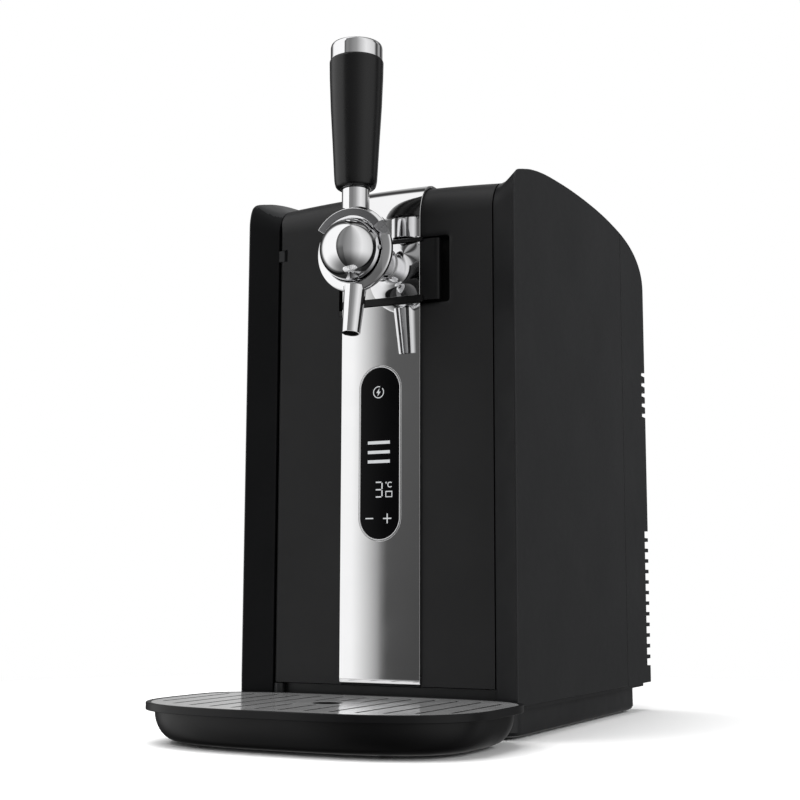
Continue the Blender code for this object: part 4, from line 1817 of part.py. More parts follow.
def make_tray_feet(tray):
    """Four small feet under the bowl."""
    names = ("tray_foot_front_left", "tray_foot_front_right", "tray_foot_rear_left",
             "tray_foot_rear_right")
    places = [(side * TRAY_FOOT_X, depth) for depth in (TRAY_FOOT_FRONT, TRAY_FOOT_REAR)
              for side in (-1, 1)]
    for name, (x, depth) in zip(names, places):
        foot = Vector((x, y_of(depth), 0.0))
        head = Vector((x, y_of(depth), BOWL_BOTTOM - FIT_GAP))
        add_piece(name, rod(TRAY_FOOT_RADIUS, foot, head), rubber(), frame=tray)


# The whole assembly
def clear_scene():
    for item in list(bpy.data.objects):
        bpy.data.objects.remove(item)


def build_housing():
    left_panel = make_side_panel("side_panel_left", -1)
    add_hinge_knuckle(left_panel)
    make_side_panel("side_panel_right", 1)
    make_rear_housing()
    make_mains_inlet()
    make_roof_cover()
    make_roof_strip()
    make_base_pan()
    make_feet()
    make_front_sill()
    make_hinge_pins()


def build_inside():
    make_cabinet()
    make_keg_seat()
    make_cold_plate()
    make_cooling_module()
    make_heat_sink()
    make_fan_frame()
    make_fan_rotor(add_empty("fan_axis", FAN_AXIS))
    make_power_supply()
    make_control_board()
    make_air_pump()
    make_air_coupling()
    make_air_hose()
    make_latch_pin()
    make_latch_spring()
    make_latch_hook(add_empty("latch_axis", LATCH_AXIS))
    make_release_button(add_empty("button_axis", BUTTON_PLACE))


def build_door():
    door = add_empty("door_axis", DOOR_AXIS)
    make_door_panel(door)
    make_door_liner(door)
    make_door_seal(door)
    make_strips(door)
    make_display(door)
    make_gate_pocket(door)
    make_gate_pin(door)
    make_door_striker(door)
    gate = add_empty("gate_axis", GATE_AXIS, door)
    make_gate_frame(gate)
    make_gate_plate(gate)
    make_tap_cup(gate)
    make_tap_spout(gate)
    make_pinch_plunger(add_empty("plunger_axis", SPOUT_TOP, gate))
    lever = add_empty("lever_axis", LEVER_AXIS, gate)
    make_tap_ball(lever)
    make_ball_axle(lever)
    make_lever_yoke(lever)
    make_lever_stem(lever)
    make_handle_grip(lever)
    make_handle_cap(lever)


def build_tray():
    tray = add_empty("tray_place", TRAY_PLACE)
    make_tray_bowl(tray)
    make_tray_rim(tray)
    make_tray_feet(tray)
    make_tray_grille(add_empty("grille_place", GRILLE_PLACE, tray))


clear_scene()
build_housing()
build_inside()
build_door()
build_tray()
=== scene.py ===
import math

import bmesh
import bpy
from mathutils import Matrix, Vector


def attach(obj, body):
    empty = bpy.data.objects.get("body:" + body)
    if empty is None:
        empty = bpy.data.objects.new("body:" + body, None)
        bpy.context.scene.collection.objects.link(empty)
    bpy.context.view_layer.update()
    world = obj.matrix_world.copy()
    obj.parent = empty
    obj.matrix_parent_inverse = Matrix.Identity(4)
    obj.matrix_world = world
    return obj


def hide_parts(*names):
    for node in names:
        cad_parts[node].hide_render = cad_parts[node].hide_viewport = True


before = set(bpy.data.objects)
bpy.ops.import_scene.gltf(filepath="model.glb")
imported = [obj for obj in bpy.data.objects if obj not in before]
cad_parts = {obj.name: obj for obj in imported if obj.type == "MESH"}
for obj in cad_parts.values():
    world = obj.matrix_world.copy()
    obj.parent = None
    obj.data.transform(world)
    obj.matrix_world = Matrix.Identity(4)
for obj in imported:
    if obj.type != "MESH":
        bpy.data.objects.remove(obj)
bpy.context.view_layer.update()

MM = 0.001
FULL_TURN = 2.0 * math.pi
QUARTER_TURN = 0.5 * math.pi

# Sizes of the solids, in metres
HALF_WIDTH = 130.5 * MM
DEPTH = 376.0 * MM
TOP = 489.5 * MM
PANEL_BOTTOM = 28.0 * MM
SEAM = 295.0 * MM
SEAM_GAP = 1.5 * MM
LIP_X = 105.9 * MM
RECESS = 13.3 * MM
ROOF = 471.5 * MM
WALL = 3.0 * MM
EDGE = 1.6 * MM
LIP_RADIUS = 28.0 * MM
ARC_DEPTH = RECESS + LIP_RADIUS
ARC_Z = ROOF - LIP_RADIUS
REAR_RUN = 140.0 * MM
DOOR_X = 104.9 * MM
DOOR_BOTTOM = 40.7 * MM
DOOR_TOP_DEPTH = 33.0 * MM
STRIP_X = 38.2 * MM
STRIP_FRONT = 10.9 * MM
STRIP_BACK = 13.0 * MM
GAP = 0.3 * MM
FRONT_Y = 0.5 * (171.5 * MM - DEPTH)
TAP_Z = 405.0 * MM
TAP_D = -38.0 * MM
BALL_D = -44.0 * MM
BALL_RADIUS = 26.3 * MM
BALL_LEAD = 1.0 * MM
SEAT_RADIUS = 27.5 * MM
STEM_D = -37.0 * MM
CORNER = 28
CROWN = 4.2 * MM


def y_of(depth):
    return FRONT_Y + depth


def place(x, depth, z):
    return Vector((x, y_of(depth), z))


# Shapes
def skin(loops, ring=False, closed=True):
    mesh = bmesh.new()
    rows = [[mesh.verts.new(p) for p in loop] for loop in loops]
    pairs = list(zip(rows, rows[1:]))
    if ring:
        pairs.append((rows[-1], rows[0]))
    for low, high in pairs:
        n = len(low)
        for i in range(n):
            j = (i + 1) % n
            mesh.faces.new((low[i], low[j], high[j], high[i]))
    if not ring and closed:
        mesh.faces.new(rows[0])
        mesh.faces.new(rows[-1])
    return mesh


def on_axis(axis, along, a, b):
    if axis == "X":
        return Vector((along, a, b))
    if axis == "Y":
        return Vector((a, along, b))
    return Vector((a, b, along))


def prism(outline, axis, low, high):
    return skin([[on_axis(axis, p, a, b) for a, b in outline] for p in (low, high)])


def box(low, high):
    outline = [(low[0], y_of(low[1])), (high[0], y_of(low[1])),
               (high[0], y_of(high[1])), (low[0], y_of(high[1]))]
    return prism(outline, "Z", low[2], high[2])


def depth_outline(points):
    return [(y_of(d), z) for d, z in points]


def rounded(middle, half, radius, steps):
    points = []
    for corner, (side, end) in enumerate(((1, 1), (-1, 1), (-1, -1), (1, -1))):
        ca = middle[0] + side * (half[0] - radius)
        cb = middle[1] + end * (half[1] - radius)
        for step in range(steps + 1):
            angle = (corner + step / steps) * QUARTER_TURN
            points.append((ca + radius * math.cos(angle), cb + radius * math.sin(angle)))
    return points


def lathe(profile, foot, direction, steps=96, ring=False):
    mesh = bmesh.new()
    turn = Vector((0, 0, 1)).rotation_difference(Vector(direction)).to_matrix()
    rows = []
    for radius, along in profile:
        if radius == 0.0:
            rows.append([mesh.verts.new(foot + turn @ Vector((0, 0, along)))])
            continue
        rows.append([mesh.verts.new(foot + turn @ Vector((
            radius * math.cos(FULL_TURN * i / steps), radius * math.sin(FULL_TURN * i / steps),
            along))) for i in range(steps)])
    pairs = list(zip(rows, rows[1:]))
    if ring:
        pairs.append((rows[-1], rows[0]))
    for low, high in pairs:
        for i in range(steps):
            j = (i + 1) % steps
            corners = [low[i % len(low)], low[j % len(low)],
                       high[j % len(high)], high[i % len(high)]]
            mesh.faces.new(list(dict.fromkeys(corners)))
    return mesh


def rod(radius, start, end, steps=64):
    span = end - start
    return lathe([(0.0, 0.0), (radius, 0.0), (radius, span.length), (0.0, span.length)],
                 start, span.normalized(), steps)


def sphere(radius, centre, steps=96, rings=48):
    profile = []
    for ring in range(rings + 1):
        angle = math.pi * ring / rings
        reach = 0.0 if ring in (0, rings) else radius * math.sin(angle)
        profile.append((reach, -radius * math.cos(angle)))
    return lathe(profile, centre, (0, 1, 0), steps)


def combined(shapes):
    result = bmesh.new()
    for shape in shapes:
        mesh = bpy.data.meshes.new("shape")
        shape.to_mesh(mesh)
        shape.free()
        result.from_mesh(mesh)
        bpy.data.meshes.remove(mesh)
    return result


def softened(profile, radius, steps=4):
    """Profile of radius and distance whose inner corners are rounded off."""
    points = [Vector(p) for p in profile]
    result = [points[0]]
    for before, here, after in zip(points, points[1:], points[2:]):
        a = before - here
        b = after - here
        reach = min(radius, 0.45 * a.length, 0.45 * b.length)
        if reach < 0.02 * MM or a.angle(b) > math.radians(172):
            result.append(here)
            continue
        start = here + a.normalized() * reach
        end = here + b.normalized() * reach
        for step in range(steps + 1):
            t = step / steps
            result.append(start * (1 - t) ** 2 + here * 2 * t * (1 - t) + end * t * t)
    result.append(points[-1])
    return [(max(p.x, 0.0), p.y) for p in result]


# Materials
def shader(name):
    made = bpy.data.materials.new(name)
    made.use_nodes = True
    tree = made.node_tree
    return made, tree, tree.nodes["Principled BSDF"]


def node(tree, kind, **values):
    made = tree.nodes.new(kind)
    for key, value in values.items():
        setattr(made, key, value)
    return made


def noise(tree, coordinates, scale, detail=3.0, stretch=None):
    source = coordinates
    if stretch:
        mapping = node(tree, "ShaderNodeMapping")
        mapping.inputs["Scale"].default_value = stretch
        tree.links.new(coordinates, mapping.inputs["Vector"])
        source = mapping.outputs["Vector"]
    made = node(tree, "ShaderNodeTexNoise")
    made.inputs["Scale"].default_value = scale
    made.inputs["Detail"].default_value = detail
    tree.links.new(source, made.inputs["Vector"])
    return made.outputs["Fac"]


def spread(tree, value, low, high):
    made = node(tree, "ShaderNodeMapRange")
    made.inputs["From Min"].default_value = 0.3
    made.inputs["From Max"].default_value = 0.7
    made.inputs["To Min"].default_value = low
    made.inputs["To Max"].default_value = high
    tree.links.new(value, made.inputs["Value"])
    return made.outputs["Result"]


def tinted(tree, value, dark, light):
    made = node(tree, "ShaderNodeMix", data_type="RGBA")
    made.inputs[6].default_value = (*dark, 1)
    made.inputs[7].default_value = (*light, 1)
    tree.links.new(value, made.inputs["Factor"])
    return made.outputs[2]


def bumped(tree, value, strength, distance, normal=None):
    made = node(tree, "ShaderNodeBump")
    made.inputs["Strength"].default_value = strength
    made.inputs["Distance"].default_value = distance
    tree.links.new(value, made.inputs["Height"])
    if normal:
        tree.links.new(normal, made.inputs["Normal"])
    return made.outputs["Normal"]


def plastic(name, dark, light, rough, grain_scale, grain, metallic=0.0, specular=0.5):
    """Moulded plastic: fine grain, slight clouds of colour and gloss."""
    made, tree, bsdf = shader(name)
    where = node(tree, "ShaderNodeTexCoord").outputs["Object"]
    clouds = noise(tree, where, 14.0, 4.0)
    fine = noise(tree, where, grain_scale, 2.0)
    tree.links.new(tinted(tree, spread(tree, clouds, 0, 1), dark, light),
                   bsdf.inputs["Base Color"])
    tree.links.new(spread(tree, noise(tree, where, 60.0, 5.0), rough[0], rough[1]),
                   bsdf.inputs["Roughness"])
    tree.links.new(bumped(tree, fine, grain, 0.05 * MM), bsdf.inputs["Normal"])
    bsdf.inputs["Metallic"].default_value = metallic
    bsdf.inputs["Specular IOR Level"].default_value = specular
    return made


def metal(name, dark, light, rough, streak=None, streak_strength=0.0):
    """Polished or brushed metal: faint smears, and streaks where it is brushed."""
    made, tree, bsdf = shader(name)
    where = node(tree, "ShaderNodeTexCoord").outputs["Object"]
    clouds = noise(tree, where, 18.0, 4.0)
    tree.links.new(tinted(tree, spread(tree, clouds, 0, 1), dark, light),
                   bsdf.inputs["Base Color"])
    tree.links.new(spread(tree, noise(tree, where, 35.0, 6.0), rough[0], rough[1]),
                   bsdf.inputs["Roughness"])
    bsdf.inputs["Metallic"].default_value = 1.0
    if streak:
        lines = noise(tree, where, 40.0, 6.0, streak)
        tree.links.new(bumped(tree, lines, streak_strength, 0.05 * MM), bsdf.inputs["Normal"])
    return made


def glow(name, colour, strength):
    """Lit symbol behind the display window, with a faint unevenness."""
    made, tree, bsdf = shader(name)
    where = node(tree, "ShaderNodeTexCoord").outputs["Object"]
    uneven = spread(tree, noise(tree, where, 400.0), 0.0, 1.0)
    tree.links.new(tinted(tree, uneven, [0.9 * c for c in colour], colour),
                   bsdf.inputs["Emission Color"])
    bsdf.inputs["Emission Strength"].default_value = strength
    bsdf.inputs["Base Color"].default_value = (0.02, 0.02, 0.02, 1)
    bsdf.inputs["Roughness"].default_value = 0.3
    return made


SATIN = plastic("satin_black", (0.012, 0.0125, 0.0135), (0.015, 0.0155, 0.0165),
                (0.36, 0.44), 2600.0, 0.28, specular=0.40)
# Darker, less glossy copy of the satin black for the cheeks' inward slanted faces: painted shade
# where those faces turn from the light
SHADED_CHEEK = plastic("cheek_painted_shade", (0.0042, 0.0044, 0.005), (0.0056, 0.0058, 0.0064),
                (0.38, 0.46), 2600.0, 0.28, specular=0.16)
DOOR = plastic("door_black", (0.0115, 0.0115, 0.012), (0.0145, 0.0145, 0.015),
               (0.40, 0.48), 3000.0, 0.22, specular=0.26)
TRAY = plastic("tray_black", (0.0045, 0.0045, 0.005), (0.0065, 0.0065, 0.007),
               (0.32, 0.40), 2600.0, 0.25, specular=0.28)
GRIP = plastic("grip_black", (0.0038, 0.0038, 0.0042), (0.0052, 0.0052, 0.0056),
               (0.25, 0.31), 2200.0, 0.20, specular=0.44)
# Black plastic for the dark parts, also put on the grille's slot walls and the spout's bore as
# painted shade
BLACK_AND_SHADE = plastic("black_and_painted_shade", (0.006, 0.006, 0.006), (0.009, 0.009, 0.009),
               (0.45, 0.55), 2600.0, 0.25)
RUBBER = plastic("rubber", (0.012, 0.012, 0.012), (0.018, 0.018, 0.018),
                 (0.75, 0.88), 1400.0, 0.5)
GLASS = plastic("window_black", (0.0025, 0.0025, 0.003), (0.0035, 0.0035, 0.004),
                (0.045, 0.07), 900.0, 0.01, specular=0.10)
DARK_STEEL = metal("dark_steel", (0.03, 0.03, 0.03), (0.05, 0.05, 0.05), (0.35, 0.45))
LINER = plastic("liner_grey", (0.27, 0.28, 0.30), (0.33, 0.34, 0.36), (0.45, 0.6), 1500.0, 0.3)
BOARD = plastic("circuit_board", (0.010, 0.07, 0.03), (0.02, 0.13, 0.05), (0.3, 0.5),
                1800.0, 0.3)
CERAMIC = plastic("ceramic_white", (0.7, 0.7, 0.67), (0.8, 0.8, 0.77), (0.4, 0.6), 1500.0, 0.2)
HOSE = plastic("hose_grey", (0.45, 0.48, 0.50), (0.58, 0.60, 0.62), (0.2, 0.35), 700.0, 0.1)
# Darker copy of the chrome for the yoke's front faces: painted dark reflection
DARK_REFLECTION_CHROME = metal("chrome_painted_dark_reflection", (0.12, 0.12, 0.125), (0.15, 0.15, 0.155), (0.14, 0.20))
CHROME = metal("chrome", (0.86, 0.86, 0.87), (0.92, 0.92, 0.93), (0.035, 0.06))
STRIP = metal("strip_chrome", (0.84, 0.84, 0.845), (0.88, 0.88, 0.885), (0.02, 0.035),
              (1.0, 1.0, 0.02), 0.004)
GRILLE = metal("brushed_grille", (0.78, 0.78, 0.785), (0.84, 0.84, 0.845), (0.12, 0.17),
               (0.03, 1.0, 1.0), 0.12)
GRILLE.node_tree.nodes["Principled BSDF"].inputs["Metallic"].default_value = 0.72
STEEL = metal("brushed_steel", (0.55, 0.55, 0.56), (0.66, 0.66, 0.67), (0.22, 0.32),
              (0.03, 1.0, 1.0), 0.25)
ALUMINIUM = metal("aluminium", (0.6, 0.61, 0.62), (0.72, 0.73, 0.74), (0.32, 0.45),
                  (1.0, 1.0, 0.05), 0.2)
SYMBOL = glow("lit_symbol", (0.86, 0.88, 0.90), 0.72)


# Objects
def add(name, shape, finish, body, replaces=(), cuts=(), bevel=0.0, sharp=30.0):
    """Piece from a shape, with its cuts made and its edges rounded, riding on a body."""
    bmesh.ops.recalc_face_normals(shape, faces=shape.faces)
    mesh = bpy.data.meshes.new(name)
    shape.to_mesh(mesh)
    shape.free()
    made = bpy.data.objects.new(name, mesh)
    bpy.context.scene.collection.objects.link(made)
    helpers = []
    for operation, cutter in cuts:
        bmesh.ops.recalc_face_normals(cutter, faces=cutter.faces)
        data = bpy.data.meshes.new("cutter")
        cutter.to_mesh(data)
        cutter.free()
        helper = bpy.data.objects.new("cutter", data)
        bpy.context.scene.collection.objects.link(helper)
        helpers.append(helper)
        step = made.modifiers.new("cut", "BOOLEAN")
        step.operation = operation
        step.solver = "EXACT"
        step.object = helper
    if bevel:
        step = made.modifiers.new("edges", "BEVEL")
        step.width = bevel
        step.segments = 3
        step.limit_method = "ANGLE"
        step.angle_limit = math.radians(sharp)
        step.use_clamp_overlap = True
    if made.modifiers:
        bpy.context.view_layer.update()
        graph = bpy.context.evaluated_depsgraph_get()
        final = bpy.data.meshes.new_from_object(made.evaluated_get(graph))
        made.modifiers.clear()
        made.data = final
        bpy.data.meshes.remove(mesh)
    for helper in helpers:
        bpy.data.objects.remove(helper)
    made.data.materials.clear()
    made.data.materials.append(finish)
    made.data.shade_smooth()
    made.data.set_sharp_from_angle(angle=math.radians(sharp))
    weigh = made.modifiers.new("faces", "WEIGHTED_NORMAL")
    weigh.mode = "FACE_AREA"
    weigh.weight = 100
    weigh.keep_sharp = True
    if replaces:
        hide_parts(*replaces)
    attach(made, body)
    return made


def refaced(piece, finish, chosen):
    """Second finish on the faces that the test picks."""
    piece.data.materials.append(finish)
    for face in piece.data.polygons:
        if chosen(face):
            face.material_index = 1


def dress(name, finish, angle=32.0):
    """CAD node with its own finish, welded and shaded smooth."""
    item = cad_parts[name]
    item.data.materials.clear()
    item.data.materials.append(finish)
    item.data.shade_smooth()
    weld = item.modifiers.new("weld", "WELD")
    weld.merge_threshold = 0.00001
    split = item.modifiers.new("split", "EDGE_SPLIT")
    split.split_angle = math.radians(angle)


# Housing
OUTER = {"front": 0.0, "roof": TOP, "run": 100 * MM, "drop": 40 * MM, "bulge": 2.3,
         "rear": 52 * MM}
LIP = {"front": RECESS, "roof": ROOF, "run": LIP_RADIUS, "drop": LIP_RADIUS, "bulge": 2.0,
       "rear": 34 * MM}

# Height of the cheeks' top line above the plain rounded outline, by depth in millimetres
TOP_LIFT = ((0, 0.0), (3, 3.6), (5, 4.6), (9, 3.7), (14, 2.0), (20, 0.3), (28, -1.0), (36, -1.5),
            (50, -1.9), (66, -1.7), (80, -1.2), (95, -0.4), (111, 0.6), (127, 1.5), (144, 2.2),
            (161, 2.6), (187, 2.9), (214, 2.6), (233, 2.1), (252, 1.2), (272, 0.3), (290, 0.0),
            (400, 0.0))


def top_lift(depth):
    depth = depth / MM
    for (a, low), (b, high) in zip(TOP_LIFT, TOP_LIFT[1:]):
        if depth <= b:
            return MM * (low + (high - low) * max(depth - a, 0.0) / (b - a))
    return 0.0


def lifted(form, points):
    if form is not OUTER:
        return points
    return [(d, z + top_lift(d)) for d, z in points]


def front_corner(form, inset, first=0.0):
    run = form["run"] - inset
    drop = form["drop"] - inset
    power = 2.0 / form["bulge"]
    points = []
    for step in range(CORNER + 1):
        angle = first + (QUARTER_TURN - first) * step / CORNER
        points.append((form["front"] + form["run"] - run * max(math.cos(angle), 0.0) ** power,
                       form["roof"] - form["drop"] + drop * math.sin(angle) ** power))
    return points


def rear_angle(depth, inset):
    share = (depth - (DEPTH - REAR_RUN)) / (REAR_RUN - inset)
    return math.asin(min(share, 1.0) ** 1.2)


def rear_corner(form, inset, first, last):
    run = REAR_RUN - inset
    drop = form["rear"] - inset
    power = 2.0 / 2.4
    points = []
    for step in range(CORNER + 1):
        angle = first + (last - first) * step / CORNER
        points.append((DEPTH - REAR_RUN + run * math.sin(angle) ** power,
                       form["roof"] - form["rear"] + drop * max(math.cos(angle), 0.0) ** power))
    return points


def side_loop(x, form, inset, edge):
    seam = SEAM - edge
    points = [(form["front"] + inset, PANEL_BOTTOM + edge)]
    points += lifted(form, front_corner(form, inset))
    flat = DEPTH - REAR_RUN
    last = points[-1][0]
    points += lifted(form, [(last + (flat - last) * step / 12, form["roof"] - inset)
                            for step in range(1, 12)])
    points += lifted(form, rear_corner(form, inset, 0.0, rear_angle(seam, inset)))
    points.append((seam, PANEL_BOTTOM + edge))
    return [place(x, d, z) for d, z in points]


def rear_loop(x, form, inset, edge, over=0.0):
    seam = SEAM + SEAM_GAP + edge - over
    low = PANEL_BOTTOM + edge - over
    points = [(seam, low)] + rear_corner(form, inset, rear_angle(seam, inset), QUARTER_TURN)
    points.append((DEPTH - inset, low))
    return [place(x, d, z) for d, z in points]


def mixed(first, last, share):
    return [a.lerp(b, share) for a, b in zip(first, last)]


def edge_loops(loop, side):
    loops = []
    for step in range(7):
        angle = step / 6 * QUARTER_TURN
        inset = EDGE * (1.0 - math.sin(angle))
        loops.append(loop(side * (HALF_WIDTH - EDGE * (1.0 - math.cos(angle))), OUTER, inset,
                          inset * 0.4))
    return loops


def side_shell(name, side, node_name):
    loops = edge_loops(side_loop, side)
    start = loops[-1]
    lip = side_loop(side * LIP_X, LIP, 0.0, 0.0)
    steps = 10
    for step in range(1, steps):
        loops.append(mixed(start, lip, step / steps))
    loops.append(mixed(start, lip, 0.985))
    loops.append(side_loop(side * (LIP_X + 0.05 * MM), LIP, 0.25 * MM, 0.1 * MM))
    loops.append(side_loop(side * LIP_X, LIP, 0.8 * MM, 0.3 * MM))
    loops.append(side_loop(side * LIP_X, LIP, WALL, WALL))
    loops.append(side_loop(side * (HALF_WIDTH - WALL), OUTER, WALL, WALL))
    cuts = []
    if side < 0:
        axis = place(-100.9 * MM, 17.3 * MM, 418.0 * MM)
        up = Vector((0, 0, 10 * MM))
        cuts.append(("UNION", rod(3.7 * MM, axis, axis + up)))
        cuts.append(("UNION", box((-LIP_X - 2 * MM, 13.6 * MM, 418.0 * MM),
                                  (-100.9 * MM, 20.0 * MM, 428.0 * MM))))
        bore = Vector((0, 0, 2 * MM))
        cuts.append(("DIFFERENCE", rod(1.9 * MM, axis - bore, axis + up + bore)))
    shell = add(name, skin(loops), SATIN, "housing", (node_name,), cuts)
    # The cheeks' inward-facing slanted faces get the darker copy of the black: painted shade
    refaced(shell, SHADED_CHEEK, lambda face: abs(face.center.x) < HALF_WIDTH - EDGE
            and face.normal.x * side < -0.2 and face.normal.z < 0.6)


def vent_boxes():
    edge = HALF_WIDTH + 2 * MM
    columns = ((-edge, -46.5 * MM), (-41.5 * MM, 41.5 * MM), (46.5 * MM, edge))
    shapes = []
    for bottom, height, count in ((45 * MM, 7.2 * MM, 13), (303 * MM, 4.6 * MM, 5)):
        for row in range(count):
            low = bottom + row * 10.9 * MM
            for index, (left, right) in enumerate(columns):
                if index == 0 and low < 88.0 * MM:
                    continue
                shapes.append(box((left, DEPTH - 13 * MM, low), (right, DEPTH + 2 * MM,
                                                                 low + height)))
    return shapes


def rear_shell():
    loops = edge_loops(rear_loop, 1)
    lip_right = rear_loop(LIP_X, LIP, 0.0, 0.0)
    lip_left = rear_loop(-LIP_X, LIP, 0.0, 0.0)
    start = loops[-1]
    loops += [mixed(start, lip_right, s / 6) for s in range(1, 6)]
    loops += [lip_right, lip_left]
    far = list(reversed(edge_loops(rear_loop, -1)))
    loops += [mixed(lip_left, far[0], s / 6) for s in range(1, 6)]
    loops += far
    inner = HALF_WIDTH - WALL
    hollow = skin([rear_loop(inner, OUTER, WALL, 0.0, 2 * MM),
                   rear_loop(LIP_X, LIP, WALL, 0.0, 2 * MM),
                   rear_loop(-LIP_X, LIP, WALL, 0.0, 2 * MM),
                   rear_loop(-inner, OUTER, WALL, 0.0, 2 * MM)])
    hole = prism(rounded((-88 * MM, 70 * MM), (14.1 * MM, 10.3 * MM), 4 * MM, 6), "Y",
                 y_of(DEPTH - 6 * MM), y_of(DEPTH + 2 * MM))
    add("rear_shell", skin(loops), SATIN, "housing", ("rear_housing",),
        [("DIFFERENCE", hollow), ("DIFFERENCE", combined(vent_boxes())), ("DIFFERENCE", hole)])


def button_hole(low, high):
    outline = rounded((0.0, y_of(106 * MM)), (16.3 * MM, 11.3 * MM), 5 * MM, 8)
    return prism(outline, "Z", low, high)


def roof_pieces():
    start = ARC_DEPTH - 34.0 * MM

    def line(inset):
        first = math.acos(start / (LIP_RADIUS - inset))
        return front_corner(LIP, inset, first) + rear_corner(LIP, inset, 0.0,
                                                             rear_angle(SEAM, inset))

    shape = crowned(line(0.0) + line(WALL)[::-1], LIP_X - GAP, 24)
    ribs = [box((-101 * MM, d, 452.3 * MM), (101 * MM, d + WALL, ROOF - 1.5 * MM))
            for d in (138 * MM, 225.4 * MM)]
    add("roof_panel", shape, DOOR, "housing", ("roof_cover",),
        [("UNION", combined(ribs)), ("DIFFERENCE", button_hole(462 * MM, 482 * MM))],
        bevel=0.35 * MM)
    points = []
    for radius in (LIP_RADIUS + 2.4 * MM, LIP_RADIUS + GAP):
        first = math.acos(start / radius)
        arc = []
        for step in range(CORNER + 1):
            angle = first + (QUARTER_TURN - first) * step / CORNER
            arc.append((ARC_DEPTH - radius * math.cos(angle), ARC_Z + radius * math.sin(angle)))
        arc.append((132 * MM, ARC_Z + radius))
        points.append(arc)
    shape = crowned(points[0] + points[1][::-1], STRIP_X, extra=0.4 * MM)
    add("roof_strip_piece", shape, STRIP, "housing", ("roof_strip",),
        [("DIFFERENCE", button_hole(462 * MM, 482 * MM))], bevel=0.3 * MM)
    top = ROOF + CROWN + 2.9 * MM
    outline = rounded((0.0, y_of(106 * MM)), (16.0 * MM, 11.0 * MM), 4.7 * MM, 12)
    add("button_cap", prism(outline, "Z", 467 * MM, top), GRIP, "button",
        ("release_button",), bevel=0.7 * MM)


def crowned(outline, half, steps=16, extra=0.0):
    """Outline of depth and z pushed along X, its top raised into a crown."""
    loops = []
    for step in range(steps + 1):
        x = -half + 2.0 * half * step / steps
        rise = CROWN * (1.0 - (x / (108 * MM)) ** 2) + extra
        loop = []
        for d, z in outline:
            share = min(max((z - (ARC_Z + 2 * MM)) / (24 * MM), 0.0), 1.0)
            share = share * share * (3.0 - 2.0 * share)
            loop.append(Vector((x, y_of(d), z + rise * share)))
        loops.append(loop)
    return skin(loops)


# Door
def door_arc(radius, last):
    end = math.acos((ARC_DEPTH - last) / radius)
    return [(ARC_DEPTH - radius * math.cos(end * s / CORNER),
             ARC_Z + radius * math.sin(end * s / CORNER)) for s in range(CORNER + 1)]


def pill(inset, steps=24):
    half_height = 75.55 * MM
    return rounded((0.0, 238.05 * MM), (19.8 * MM - inset, half_height - inset),
                   19.8 * MM - inset, steps)


def recess_rim():
    """Shallow slope round the finger recess beside the tap gate."""
    loops = []
    for grown, depth in ((5.6 * MM, RECESS - 0.25 * MM), (4.6 * MM, RECESS),
                         (1.5 * MM, RECESS + 0.75 * MM), (-0.5 * MM, RECESS + 1.7 * MM)):
        loops.append([Vector((x, y_of(depth), z)) for x, z in
                      rounded((49.0 * MM, 396 * MM), (15.5 * MM + grown, 29.5 * MM + grown),
                              3 * MM + max(grown, 0.0), 8)])
    return skin(loops)


def door_piece():
    outline = [(RECESS, DOOR_BOTTOM)] + door_arc(LIP_RADIUS, DOOR_TOP_DEPTH)
    outline += door_arc(LIP_RADIUS - WALL, DOOR_TOP_DEPTH)[::-1]
    outline.append((RECESS + WALL, DOOR_BOTTOM))
    shape = crowned(outline, DOOR_X, 24)
    axis_x, axis_d = -100.9 * MM, 17.3 * MM
    roll = [(-DOOR_X - 2 * MM, y_of(11.3 * MM)), (axis_x, y_of(11.3 * MM))]
    for step in range(13):
        angle = QUARTER_TURN * step / 12
        roll.append((axis_x - 4 * MM * math.sin(angle), y_of(axis_d) - 4 * MM * math.cos(angle)))
    roll.append((-DOOR_X - 2 * MM, y_of(axis_d)))
    foot = place(axis_x, axis_d, DOOR_BOTTOM)
    cuts = [
        ("DIFFERENCE", prism(roll, "Z", DOOR_BOTTOM - 2 * MM, ROOF + CROWN)),
        ("UNION", rod(4 * MM, foot, place(axis_x, axis_d, 443 * MM))),
        ("DIFFERENCE", box((-DOOR_X - 2 * MM, 11.3 * MM, 417.65 * MM),
                           (axis_x + 4.0 * MM, 36 * MM, 428.35 * MM))),
        ("DIFFERENCE", combined([
            rod(1.9 * MM, place(axis_x, axis_d, DOOR_BOTTOM - 2 * MM),
                place(axis_x, axis_d, 56 * MM)),
            rod(1.9 * MM, place(axis_x, axis_d, 405.7 * MM), place(axis_x, axis_d, 440.3 * MM))])),
        ("DIFFERENCE", prism(pill(3.4 * MM), "Y", y_of(11.3 * MM), y_of(18.3 * MM))),
        ("DIFFERENCE", prism(rounded((10.85 * MM, 396 * MM), (53.65 * MM, 29.5 * MM), 3 * MM, 6),
                             "Y", y_of(11.3 * MM), y_of(18.3 * MM))),
        ("DIFFERENCE", recess_rim()),
        ("DIFFERENCE", box((-42.8 * MM, 11.3 * MM, 361.6 * MM),
                           (-31.2 * MM, 18.3 * MM, 430.4 * MM))),
        ("DIFFERENCE", box((-STRIP_X - GAP, STRIP_FRONT, DOOR_BOTTOM - 2 * MM),
                           (STRIP_X + GAP, 18.3 * MM, 48.7 * MM)))]
    add("door_skin", shape, DOOR, "front_door", ("door_panel",), cuts,
        bevel=0.45 * MM)


